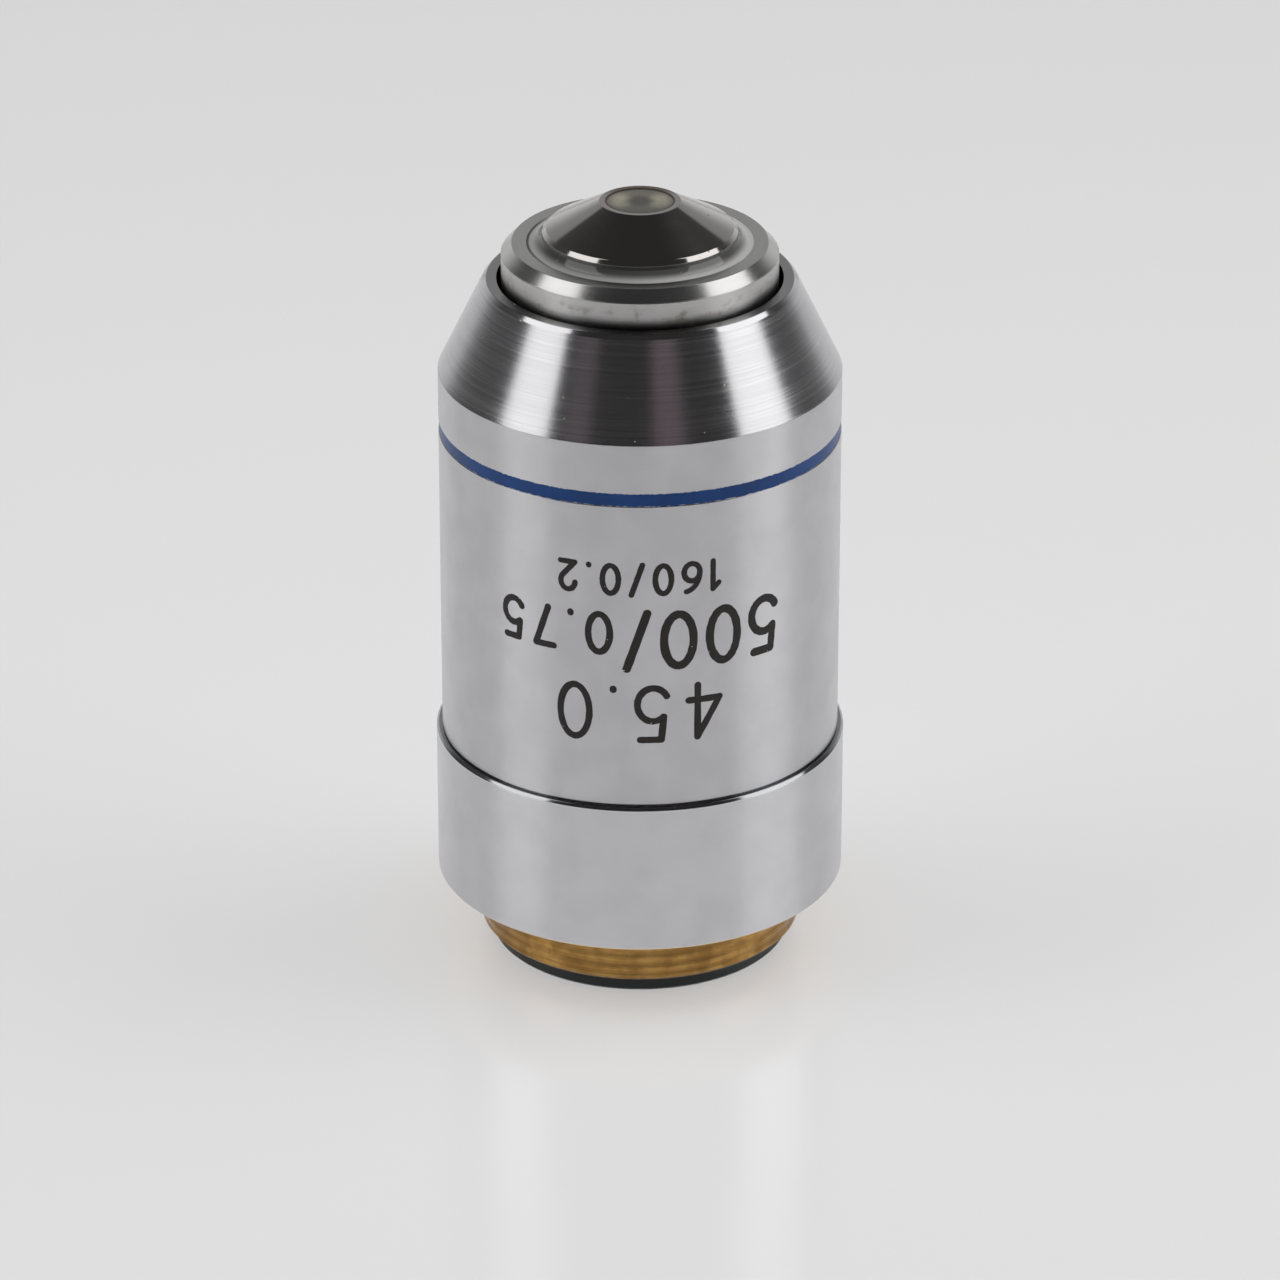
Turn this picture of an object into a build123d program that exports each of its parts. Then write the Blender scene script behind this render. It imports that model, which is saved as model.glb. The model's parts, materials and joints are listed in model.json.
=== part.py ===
from build123d import *
from math import sqrt
import os

# A microscope objective with a spring-loaded front, standing on its rear ring.
# Millimetres. Z is the optical axis and points from the rear ring to the nose.
# The origin is the middle of the rear ring's face, where the objective stands.
# Heights are worked out upwards from there, and radii outwards from the axis.

# Clearances
fit_clearance = 0.02
running_clearance = 0.05
cement_layer = 0.02
overrun = 1.0

# Thread and shoulder that screw into the microscope
thread_radius = 10.135
thread_length = 3.6
thread_lead = 0.25
thread_wall = 1.635
relief_depth = 0.585
relief_width = 0.45

# Rear ring, which closes the thread and carries the spring
ring_radius = 9.42
ring_proud = 1.05
ring_spigot = 3.95
ring_bore = 6.2
ring_chamfer = 0.18
ring_mouth = 0.7
ring_slot_reach = 1.7
spanner_width = 1.5
spanner_depth = 0.8

# Collar of the mount body
collar_radius = 12.87
collar_length = 9.73
collar_chamfer = 0.2
collar_bevel = 0.15
collar_groove = 0.12
collar_groove_depth = 0.17

# Outer sleeve
sleeve_radius = 12.5
sleeve_length = 24.05
sleeve_wall = 1.3
sleeve_thread_length = 5.8
sleeve_thread_depth = 0.4
cone_height = 5.74
cone_top_radius = 9.72
rim_chamfer = 0.26
rim_gap = 0.28

# Colour band
band_width = 0.87
band_below_cone = 3.13
band_depth = 0.2
band_recess = 0.04

# Guide tube, with the stop that holds the front out
travel = 2.5
guide_wall = 1.1
guide_stop_step = 0.9
guide_stop_rise = 2.62
guide_end_gap = 0.5
shim_thickness = 0.3
shim_width = 0.75

# Lens barrel
barrel_wall = 1.25
barrel_land = 4.0
barrel_relief = 0.12
flange_thickness = 1.7
tail_wall = 0.7
tail_length = 6.0

# Guide screw and its slot
screw_drop = 9.9
screw_radius = 1.0
screw_head_radius = 1.6
screw_head_height = 0.65
screw_tip_radius = 0.7
screw_tip_reach = 0.65
driver_width = 0.4
driver_depth = 0.3
spot_depth = 0.35
spot_clearance = 0.15
slot_depth = 0.75
slot_end_gap = 0.3

# Compression spring
wire_diameter = 0.9
spring_turns = 5.5
spring_side_gap = 0.25

# Front cap
cap_radius = 8.54
cap_proud = 1.6
cap_skirt = 3.15
cap_bevel_height = 0.7
cap_bevel_width = 0.66
cap_lip = 0.92

# Nose cone and the bead of cement round it
nose_radius = 6.02
nose_wall_height = 0.66
nose_bevel_width = 0.25
nose_bevel_height = 0.25
nose_height = 1.74
nose_flange = 0.8
nose_spigot = 1.3
tip_radius = 2.5
tip_rim = 0.45
lens_sink = 0.04
bead_width = 0.95
bead_climb = 0.45
bead_dip = 0.16

# Front lens, and the meniscus behind it in its own cell
front_curve_share = 1.3
meniscus_gap = 0.24
meniscus_radius = 3.2
meniscus_thickness = 2.55
meniscus_reach_share = 0.9
meniscus_top_share = 1.44
meniscus_bottom_share = 1.375
boss_wall = 0.95
boss_gap = 0.2
meniscus_cell_height = 2.7

# Cells stacked in the barrel
cell_lip = 0.9
cell_recess = 0.3
cell_land = 0.7
cell_relief = 0.15
aperture_share = 0.88

# Two cemented doublets. The shares of the lens radius are the curves of the
# crown's top, the cemented face and the flint's bottom (0 is flat).
front_cell_wall = 2.0
front_crown = 3.4
front_flint = 1.0
front_curve_shares = (2.8, -1.6, 0)
middle_cell_wall = 1.6
middle_crown = 3.1
middle_flint = 1.2
middle_curve_shares = (3.4, -1.9, -6.0)

# Tube that keeps the doublets and the rear cell apart
tube_wall = 0.9
tube_baffle = 0.5

# Rear cell, with two thick menisci whose hollows face each other
rear_cell_wall = 1.6
rear_lens_thickness = 3.0
rear_spacer_height = 1.3
rear_reach_share = 0.8
rear_outer_share = 1.6
rear_inner_share = 1.2

# Aperture stop and lock ring at the back of the stack
stop_thickness = 0.6
stop_radius = 3.6
stop_edge = 0.15
lock_thickness = 1.7
lock_bore = 4.9
lock_sink = 0.4
lock_slot_reach = 0.9

# Heights of the outside
shoulder = ring_proud + thread_length
collar_top = shoulder + collar_length
groove_foot = collar_top + collar_bevel
sleeve_foot = groove_foot + collar_groove
cone_foot = sleeve_foot + sleeve_length
cone_top = cone_foot + cone_height
rim = cone_top + rim_chamfer
band_top = cone_foot - band_below_cone
band_bottom = band_top - band_width
cap_side_top = rim + cap_proud
cap_top = cap_side_top + cap_bevel_height
cap_bottom = cap_side_top - cap_skirt
wall_top = cap_top + nose_wall_height
cone_base = wall_top + nose_bevel_height
tip = cone_base + nose_height

# Heights inside
ring_front = ring_proud + ring_spigot
spigot_top = sleeve_foot + sleeve_thread_length
guide_top = cap_bottom - travel - guide_end_gap
stop_height = sleeve_foot + guide_stop_rise
flange_top = stop_height - shim_thickness
flange_bottom = flange_top - flange_thickness
tail_end = flange_bottom - tail_length
nose_seat = cap_top - cap_lip
barrel_top = nose_seat - nose_flange
stack_top = barrel_top - nose_spigot
screw_height = guide_top - screw_drop

# Radii of what slides, screws and stacks into each other
rear_bore = thread_radius - thread_wall
guide_bore = rear_bore - guide_stop_step
guide_radius = guide_bore + guide_wall
barrel_radius = guide_bore - running_clearance
flange_radius = rear_bore - running_clearance
stack_bore = barrel_radius - barrel_wall
stack_radius = stack_bore - fit_clearance
tail_radius = stack_bore + tail_wall
sleeve_bore = sleeve_radius - sleeve_wall
sleeve_thread_bore = sleeve_bore + sleeve_thread_depth
spigot_radius = sleeve_thread_bore - fit_clearance
band_floor = sleeve_radius - band_depth
groove_floor = sleeve_radius - collar_groove_depth
rim_bore = cap_radius + rim_gap
cap_bore = barrel_radius + fit_clearance
cap_hole = nose_radius + bead_width
cone_lean = (sleeve_radius - cone_top_radius) / cone_height

# Places of the front lens and the meniscus
front_lens_radius = tip_radius - tip_rim
front_curve = front_curve_share * front_lens_radius
front_face = tip - lens_sink
front_centre = front_face - sqrt(front_curve**2 - front_lens_radius**2)
front_back = front_centre - front_curve
meniscus_top = front_back - meniscus_gap
meniscus_bottom = meniscus_top - meniscus_thickness
meniscus_reach = meniscus_reach_share * meniscus_radius
meniscus_top_curve = -meniscus_top_share * meniscus_radius
meniscus_bottom_curve = -meniscus_bottom_share * meniscus_radius
meniscus_cell_bottom = stack_top - meniscus_cell_height
boss_radius = meniscus_radius + fit_clearance + boss_wall


# Turned outlines and lens surfaces

def spin(outline):
    """A turned piece: an outline of (radius, height) points spun round the axis."""
    return spin_edges([Polyline(*outline, close=True)])


def spin_edges(edges):
    """A turned piece whose outline has arcs as well as straight lines."""
    return revolve(Plane.XZ * make_face(edges), Axis.Z)


def fall(curve, reach):
    """How far a lens surface falls from its vertex, at this reach from the axis."""
    if curve == 0:
        return 0
    bulge = abs(curve) - sqrt(curve**2 - reach**2)
    return bulge if curve > 0 else -bulge


def surface(vertex, curve, reach):
    """A lens surface from the axis outwards. A positive curve bulges to the nose."""
    edge = (reach, vertex - fall(curve, reach))
    if curve == 0:
        return Line((0, vertex), edge)
    middle = (reach / 2, vertex - fall(curve, reach / 2))
    return ThreePointArc((0, vertex), middle, edge)


def glass(radius, top, bottom):
    """A lens. Top and bottom are its surfaces: (vertex height, curve, reach)."""
    high = top[0] - fall(top[1], top[2])
    low = bottom[0] - fall(bottom[1], bottom[2])
    corners = [(top[2], high), (radius, high), (radius, low), (bottom[2], low)]
    rim_line = Polyline(*dict.fromkeys(corners))
    axis = Line((0, bottom[0]), (0, top[0]))
    return spin_edges([surface(*top), rim_line, surface(*bottom), axis])


def stacked_outside(bottom, top):
    """The outside of a ring in the barrel, upwards: two lands and a shallow relief."""
    waist = stack_radius - cell_relief
    return [
        (stack_radius, bottom),
        (stack_radius, bottom + cell_land),
        (waist, bottom + cell_land),
        (waist, top - cell_land),
        (stack_radius, top - cell_land),
        (stack_radius, top),
    ]


def cell_inside(bottom, top, radius, lowest):
    """The inside of a cell, downwards. Lowest is the lens surface that sits in it."""
    bore = radius + fit_clearance
    aperture = aperture_share * radius
    seat = lowest[0] - fall(lowest[1], aperture)
    return [(bore, top), (bore, seat), (aperture, seat), (aperture, bottom)]


def upright(radius, height, foot):
    """A round bar on the axis, standing on its foot."""
    return Pos(0, 0, foot) * Cylinder(radius, height, align=(Align.CENTER, Align.CENTER, Align.MIN))


def spanner_slots(face, bore, reach):
    """Two slots for a spanner, cut into a ring's rear face from its bore outwards."""
    depth = spanner_depth + overrun
    foot = face - overrun
    beam = Box(2 * (bore + reach), spanner_width, depth, align=(Align.CENTER, Align.CENTER, Align.MIN))
    return Pos(0, 0, foot) * beam - upright(bore - fit_clearance, depth, foot)


# Guide screw's axis

def screw_plane(reach):
    """The plane across the guide screw at this distance from the optical axis."""
    return Plane(origin=(reach, 0, screw_height), x_dir=(0, 0, 1), z_dir=(1, 0, 0))


def screw_bar(radius, start, end):
    """A round bar on the guide screw's axis, from one reach to another."""
    stub = Cylinder(radius, end - start, align=(Align.CENTER, Align.CENTER, Align.MIN))
    return screw_plane(start) * stub


# Fixed pieces

def make_mount_body():
    """Brass body: thread, shoulder, collar, the sleeve's spigot and the guide tube."""
    body = spin([
        (rear_bore, ring_proud),
        (thread_radius - thread_lead, ring_proud),
        (thread_radius, ring_proud + thread_lead),
        (thread_radius, shoulder - relief_width),
        (thread_radius - relief_depth, shoulder - relief_width),
        (thread_radius - relief_depth, shoulder),
        (collar_radius - collar_chamfer, shoulder),
        (collar_radius, shoulder + collar_chamfer),
        (collar_radius, collar_top),
        (collar_radius - collar_bevel, groove_foot),
        (groove_floor, groove_foot),
        (groove_floor, sleeve_foot),
        (spigot_radius, sleeve_foot),
        (spigot_radius, spigot_top),
        (guide_radius, spigot_top),
        (guide_radius, guide_top),
        (guide_bore, guide_top),
        (guide_bore, stop_height),
        (rear_bore, stop_height),
    ])
    hole = screw_bar(screw_radius + fit_clearance, 0, guide_radius)
    seat = guide_radius - spot_depth
    spot = screw_bar(screw_head_radius + spot_clearance, seat, guide_radius + overrun)
    return body - hole - spot


def make_outer_sleeve():
    """Thin-walled shell: cylinder, cone and rim, with a groove for the colour band."""
    lip_foot = cone_foot + (sleeve_bore - rim_bore) / cone_lean
    return spin([
        (sleeve_thread_bore, sleeve_foot),
        (sleeve_radius, sleeve_foot),
        (sleeve_radius, band_bottom),
        (band_floor, band_bottom),
        (band_floor, band_top),
        (sleeve_radius, band_top),
        (sleeve_radius, cone_foot),
        (cone_top_radius, cone_top),
        (cone_top_radius - rim_chamfer, rim),
        (rim_bore, rim),
        (rim_bore, lip_foot),
        (sleeve_bore, cone_foot),
        (sleeve_bore, spigot_top),
        (sleeve_thread_bore, spigot_top),
    ])


def make_colour_band():
    """Enamel that fills the sleeve's groove to just below the surface."""
    face = sleeve_radius - band_recess
    return spin([
        (band_floor, band_bottom),
        (face, band_bottom),
        (face, band_top),
        (band_floor, band_top),
    ])


def make_rear_ring():
    """Black ring: its lip shows below the thread, and the spring sits on its spigot."""
    spigot = rear_bore - fit_clearance
    ring = spin([
        (ring_bore + ring_mouth, 0),
        (ring_radius - ring_chamfer, 0),
        (ring_radius, ring_chamfer),
        (ring_radius, ring_proud),
        (spigot, ring_proud),
        (spigot, ring_front),
        (ring_bore, ring_front),
        (ring_bore, ring_mouth),
    ])
    return ring - spanner_slots(0, ring_bore, ring_slot_reach)


def make_parfocal_shim():
    """Thin ring between the guide's stop and the barrel's flange."""
    outer = rear_bore - fit_clearance
    inner = outer - shim_width
    return spin([
        (inner, flange_top),
        (outer, flange_top),
        (outer, stop_height),
        (inner, stop_height),
    ])


def make_guide_screw():
    """Slotted screw through the guide's wall, whose tip stops the barrel turning."""
    seat = guide_radius - spot_depth
    shank_start = guide_bore + running_clearance
    head_end = seat + screw_head_height
    head = screw_bar(screw_head_radius, seat, head_end)
    shank = screw_bar(screw_radius, shank_start, seat)
    dog = screw_bar(screw_tip_radius, guide_bore - screw_tip_reach, shank_start)
    driver = screw_plane(head_end - driver_depth) * Box(
        driver_width,
        2 * screw_head_radius + overrun,
        driver_depth + overrun,
        align=(Align.CENTER, Align.CENTER, Align.MIN),
    )
    return head + shank + dog - driver


def make_spring():
    """Round-wire compression spring round the barrel's tail, its ends ground flat."""
    length = flange_bottom - ring_front
    coil_radius = rear_bore - spring_side_gap - wire_diameter / 2
    path = Pos(0, 0, ring_front) * Helix(length / spring_turns, length, coil_radius)
    wire = sweep(Plane(path @ 0, z_dir=path % 0) * Circle(wire_diameter / 2), path)
    return wire & upright(rear_bore, length, ring_front)


# Sliding barrel and the front

def make_lens_barrel():
    """Sliding tube: tail inside the spring, flange under the stop, slot for the screw."""
    waist = barrel_radius - barrel_relief
    tube = spin([
        (stack_bore, tail_end),
        (tail_radius, tail_end),
        (tail_radius, flange_bottom),
        (flange_radius, flange_bottom),
        (flange_radius, flange_top),
        (barrel_radius, flange_top),
        (barrel_radius, stop_height + barrel_land),
        (waist, stop_height + barrel_land),
        (waist, guide_top - barrel_land),
        (barrel_radius, guide_top - barrel_land),
        (barrel_radius, barrel_top),
        (stack_bore, barrel_top),
    ])
    low = screw_height - slot_end_gap
    high = screw_height + travel + slot_end_gap
    outline = SlotCenterToCenter(high - low, 2 * (screw_tip_radius + running_clearance))
    middle = screw_plane(barrel_radius - slot_depth) * Pos((low + high) / 2 - screw_height, 0, 0)
    return tube - extrude(middle * outline, slot_depth + overrun)


def make_front_cap():
    """Flanged cap screwed on the barrel. Its lip holds the nose cone's flange down."""
    return spin([
        (cap_bore, cap_bottom),
        (cap_radius, cap_bottom),
        (cap_radius, cap_side_top),
        (cap_radius - cap_bevel_width, cap_top),
        (cap_hole, cap_top),
        (cap_hole, nose_seat),
        (cap_bore, nose_seat),
    ])


def make_nose_cone():
    """Polished cone that holds the front lens, with a flange under the cap's lip."""
    flange = cap_bore - fit_clearance
    hollow = boss_radius + fit_clearance
    hollow_top = boss_top() + boss_gap
    body = spin([
        (hollow, stack_top),
        (stack_radius, stack_top),
        (stack_radius, barrel_top),
        (flange, barrel_top),
        (flange, nose_seat),
        (nose_radius, nose_seat),
        (nose_radius, wall_top),
        (nose_radius - nose_bevel_width, cone_base),
        (tip_radius, tip),
        (0, tip),
        (0, hollow_top),
        (hollow, hollow_top),
    ])
    seat = Pos(0, 0, front_centre) * Sphere(front_curve + fit_clearance)
    bore_foot = hollow_top - overrun
    bore = upright(front_curve + fit_clearance, front_centre - bore_foot, bore_foot)
    mouth = upright(front_lens_radius, tip + overrun - front_centre, front_centre)
    return body - seat - bore - mouth


def make_cement_bead():
    """Pale cement between nose and cap, with a hollow face that climbs the nose."""
    climb = (nose_radius, cap_top + bead_climb)
    edge = (cap_hole, cap_top)
    hollow = (nose_radius + bead_width / 2, cap_top + bead_climb / 2 - bead_dip)
    face = ThreePointArc(climb, hollow, edge)
    foot = Polyline(edge, (cap_hole, nose_seat), (nose_radius, nose_seat), climb)
    return spin_edges([face, foot])


# Front optics

def make_front_lens():
    """More than half of a ball, with its flat face at the tip."""
    face_edge = (front_lens_radius, front_face)
    ball = ThreePointArc((0, front_back), (front_curve, front_centre), face_edge)
    back = Polyline(face_edge, (0, front_face), (0, front_back))
    return spin_edges([ball, back])


def boss_top():
    """Height of the meniscus cell's boss, a little above its lens's edge."""
    return meniscus_top - fall(meniscus_top_curve, meniscus_reach) + cell_recess


def make_meniscus_lens():
    """Thick meniscus whose hollow faces the front lens."""
    top = (meniscus_top, meniscus_top_curve, meniscus_reach)
    bottom = (meniscus_bottom, meniscus_bottom_curve, meniscus_radius)
    return glass(meniscus_radius, top, bottom)


def make_meniscus_cell():
    """Cell under the nose cone, with a boss that carries the meniscus up into it."""
    outside = stacked_outside(meniscus_cell_bottom, stack_top)
    boss = [(boss_radius, stack_top), (boss_radius, boss_top())]
    lowest = (meniscus_bottom, meniscus_bottom_curve)
    return spin(
        outside + boss + cell_inside(meniscus_cell_bottom, boss_top(), meniscus_radius, lowest)
    )


# Doublets

def make_doublet(cell_top, wall, crown, flint, curve_shares):
    """A cell below this height, its crown and flint, and the height of its bottom."""
    radius = stack_radius - wall - fit_clearance
    top_curve, cemented_curve, bottom_curve = [share * radius for share in curve_shares]
    crown_top = cell_top - cell_recess
    crown_bottom = crown_top - crown
    flint_top = crown_bottom - cement_layer
    flint_bottom = flint_top - flint
    cell_bottom = flint_bottom - cell_lip
    crown_lens = glass(
        radius, (crown_top, top_curve, radius), (crown_bottom, cemented_curve, radius)
    )
    flint_lens = glass(
        radius, (flint_top, cemented_curve, radius), (flint_bottom, bottom_curve, radius)
    )
    lowest = (flint_bottom, bottom_curve)
    inside = cell_inside(cell_bottom, cell_top, radius, lowest)
    return spin(stacked_outside(cell_bottom, cell_top) + inside), crown_lens, flint_lens, cell_bottom


# Rear of the stack, built up from the barrel's tail

def make_lock_ring(bottom):
    """Ring screwed into the barrel's tail, which presses the stack together."""
    top = bottom + lock_thickness
    ring = spin([
        (lock_bore, bottom),
        (stack_radius, bottom),
        (stack_radius, top),
        (lock_bore, top),
    ])
    return ring - spanner_slots(bottom, lock_bore, lock_slot_reach), top


def make_aperture_stop(bottom):
    """Thin black disc with a bevelled hole."""
    top = bottom + stop_thickness
    stop = spin([
        (stop_radius + stop_thickness - stop_edge, bottom),
        (stack_radius, bottom),
        (stack_radius, top),
        (stop_radius, top),
        (stop_radius, top - stop_edge),
    ])
    return stop, top


def make_rear_group(cell_bottom):
    """The rear cell, its two menisci and the ring between them, and its top height."""
    radius = stack_radius - rear_cell_wall - fit_clearance
    reach = rear_reach_share * radius
    outer_curve = rear_outer_share * radius
    inner_curve = rear_inner_share * radius
    lower_bottom = cell_bottom + cell_lip
    lower_top = lower_bottom + rear_lens_thickness
    spacer_bottom = lower_top - fall(-inner_curve, reach)
    spacer_top = spacer_bottom + rear_spacer_height
    upper_bottom = spacer_top + fall(inner_curve, reach)
    upper_top = upper_bottom + rear_lens_thickness
    cell_top = upper_top + cell_recess
    lower = glass(radius, (lower_top, -inner_curve, reach), (lower_bottom, -outer_curve, radius))
    upper = glass(radius, (upper_top, outer_curve, radius), (upper_bottom, inner_curve, reach))
    spacer = spin([
        (reach, spacer_bottom),
        (radius, spacer_bottom),
        (radius, spacer_top),
        (reach, spacer_top),
    ])
    inside = cell_inside(cell_bottom, cell_top, radius, (lower_bottom, -outer_curve))
    cell = spin(stacked_outside(cell_bottom, cell_top) + inside)
    return cell, lower, spacer, upper, cell_top


def make_spacer_tube(bottom, top):
    """Tube that fills the stack between two cells, with a baffle at each end."""
    bore = stack_radius - tube_wall
    baffle = bore - tube_baffle
    inside = [
        (baffle, top),
        (baffle, top - cell_land),
        (bore, top - cell_land),
        (bore, bottom + cell_land),
        (baffle, bottom + cell_land),
        (baffle, bottom),
    ]
    return spin(stacked_outside(bottom, top) + inside)


# The whole objective

def make_stack():
    """The pieces stacked in the barrel, by name."""
    front_cell, front_crown_lens, front_flint_lens, below = make_doublet(
        meniscus_cell_bottom, front_cell_wall, front_crown, front_flint, front_curve_shares
    )
    middle_cell, middle_crown_lens, middle_flint_lens, tube_top = make_doublet(
        below, middle_cell_wall, middle_crown, middle_flint, middle_curve_shares
    )
    lock_ring, stop_bottom = make_lock_ring(tail_end + lock_sink)
    aperture_stop, rear_bottom = make_aperture_stop(stop_bottom)
    rear_cell, lower, rear_spacer, upper, tube_bottom = make_rear_group(rear_bottom)
    return {
        "meniscus_cell": make_meniscus_cell(),
        "meniscus_lens": make_meniscus_lens(),
        "front_doublet_cell": front_cell,
        "front_crown_lens": front_crown_lens,
        "front_flint_lens": front_flint_lens,
        "middle_doublet_cell": middle_cell,
        "middle_crown_lens": middle_crown_lens,
        "middle_flint_lens": middle_flint_lens,
        "spacer_tube": make_spacer_tube(tube_bottom, tube_top),
        "rear_cell": rear_cell,
        "rear_upper_lens": upper,
        "rear_spacer_ring": rear_spacer,
        "rear_lower_lens": lower,
        "aperture_stop": aperture_stop,
        "lock_ring": lock_ring,
    }


pieces = {
    "mount_body": make_mount_body(),
    "outer_sleeve": make_outer_sleeve(),
    "colour_band": make_colour_band(),
    "rear_ring": make_rear_ring(),
    "parfocal_shim": make_parfocal_shim(),
    "guide_screw": make_guide_screw(),
    "compression_spring": make_spring(),
    "lens_barrel": make_lens_barrel(),
    "front_cap": make_front_cap(),
    "nose_cone": make_nose_cone(),
    "cement_bead": make_cement_bead(),
    "front_lens": make_front_lens(),
    **make_stack(),
}

os.makedirs("parts", exist_ok=True)
for name, shape in pieces.items():
    export_step(shape, f"parts/{name}.step")
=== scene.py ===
import json
from math import cos, pi, radians, sin, sqrt

import bpy
import numpy as np
from bpy.props import FloatProperty, FloatVectorProperty, PointerProperty, StringProperty
from bpy.types import Operator, Panel, PropertyGroup
from mathutils import Matrix, Vector


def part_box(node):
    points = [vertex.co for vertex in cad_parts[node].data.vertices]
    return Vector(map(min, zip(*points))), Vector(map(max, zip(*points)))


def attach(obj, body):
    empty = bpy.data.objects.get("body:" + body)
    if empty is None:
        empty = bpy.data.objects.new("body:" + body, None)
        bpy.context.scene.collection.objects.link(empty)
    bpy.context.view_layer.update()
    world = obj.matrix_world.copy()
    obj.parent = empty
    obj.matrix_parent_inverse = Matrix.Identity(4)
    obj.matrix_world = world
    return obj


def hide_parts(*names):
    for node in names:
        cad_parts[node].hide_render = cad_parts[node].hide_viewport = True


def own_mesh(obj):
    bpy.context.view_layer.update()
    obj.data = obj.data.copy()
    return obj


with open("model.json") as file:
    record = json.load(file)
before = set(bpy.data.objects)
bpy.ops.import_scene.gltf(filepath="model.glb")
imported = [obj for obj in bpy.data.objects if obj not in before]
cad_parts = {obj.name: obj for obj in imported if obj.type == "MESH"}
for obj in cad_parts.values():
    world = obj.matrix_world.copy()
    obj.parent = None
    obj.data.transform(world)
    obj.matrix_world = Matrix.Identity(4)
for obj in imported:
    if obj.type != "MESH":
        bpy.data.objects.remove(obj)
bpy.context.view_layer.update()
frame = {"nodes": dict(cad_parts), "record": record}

bl_info = {
    "name": "Microscope objective",
    "version": (1, 0, 0),
    "blender": (4, 5, 0),
    "location": "3D View > Sidebar > Objective",
    "description": "Dresses a microscope objective's packed solids in turned and plated metal",
    "category": "Object",
}

MM = 0.001
COLUMNS = 360
ARC_POINTS = 5
CORNER_POINTS = ARC_POINTS + 2
SHARP_ANGLE = radians(35)
SENSOR_WIDTH = 36
FACE_RINGS = (0.98, 0.5, 0)

# Width, in millimetres, over which one finish passes into the next
BLEND = 0.02
# Turn of the anisotropy that stretches highlights along the axis
ALONG_AXIS = 0.25
# Refraction of the lenses, and of the cement round the nose
GLASS_IOR = 1.6
# Steps in which a pen stroke closes at each end
END_STEPS = 5


# Places read from the frame. The axis of every piece is the frame's own Z axis.

def reach(node):
    """Outer radius of a turned node."""
    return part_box(node)[1].x


def foot(node):
    """Height of a node's lowest point."""
    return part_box(node)[0].z


def head(node):
    """Height of a node's highest point."""
    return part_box(node)[1].z


# Settings

def length(name, millimetres, description):
    """A size. Its default is given in millimetres and kept in metres."""
    return FloatProperty(
        name=name, description=description, default=millimetres * MM, unit="LENGTH", precision=5
    )


def share(name, default, description):
    """A number between 0 and 1, such as a roughness."""
    return FloatProperty(
        name=name, description=description, default=default, min=0, max=1, subtype="FACTOR"
    )


def strength(name, default, description):
    """Brightness of a lamp or of the surroundings, where 1 is white paper in full light."""
    return FloatProperty(
        name=name, description=description, default=default, min=0, subtype="UNSIGNED",
    )


def angle(name, degrees, description):
    """An angle. Its default is given in degrees and kept in radians."""
    return FloatProperty(
        name=name, description=description, default=radians(degrees), unit="ROTATION",
    )


def colour(name, default, description):
    """A colour, as linear red, green and blue."""
    return FloatVectorProperty(
        name=name, description=description, default=default, size=3, min=0, max=1, subtype="COLOR"
    )


def row_text(name, default, description):
    """A row of figures. It may hold the signs that FIGURES has strokes for."""
    return StringProperty(name=name, description=description, default=default)


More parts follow.
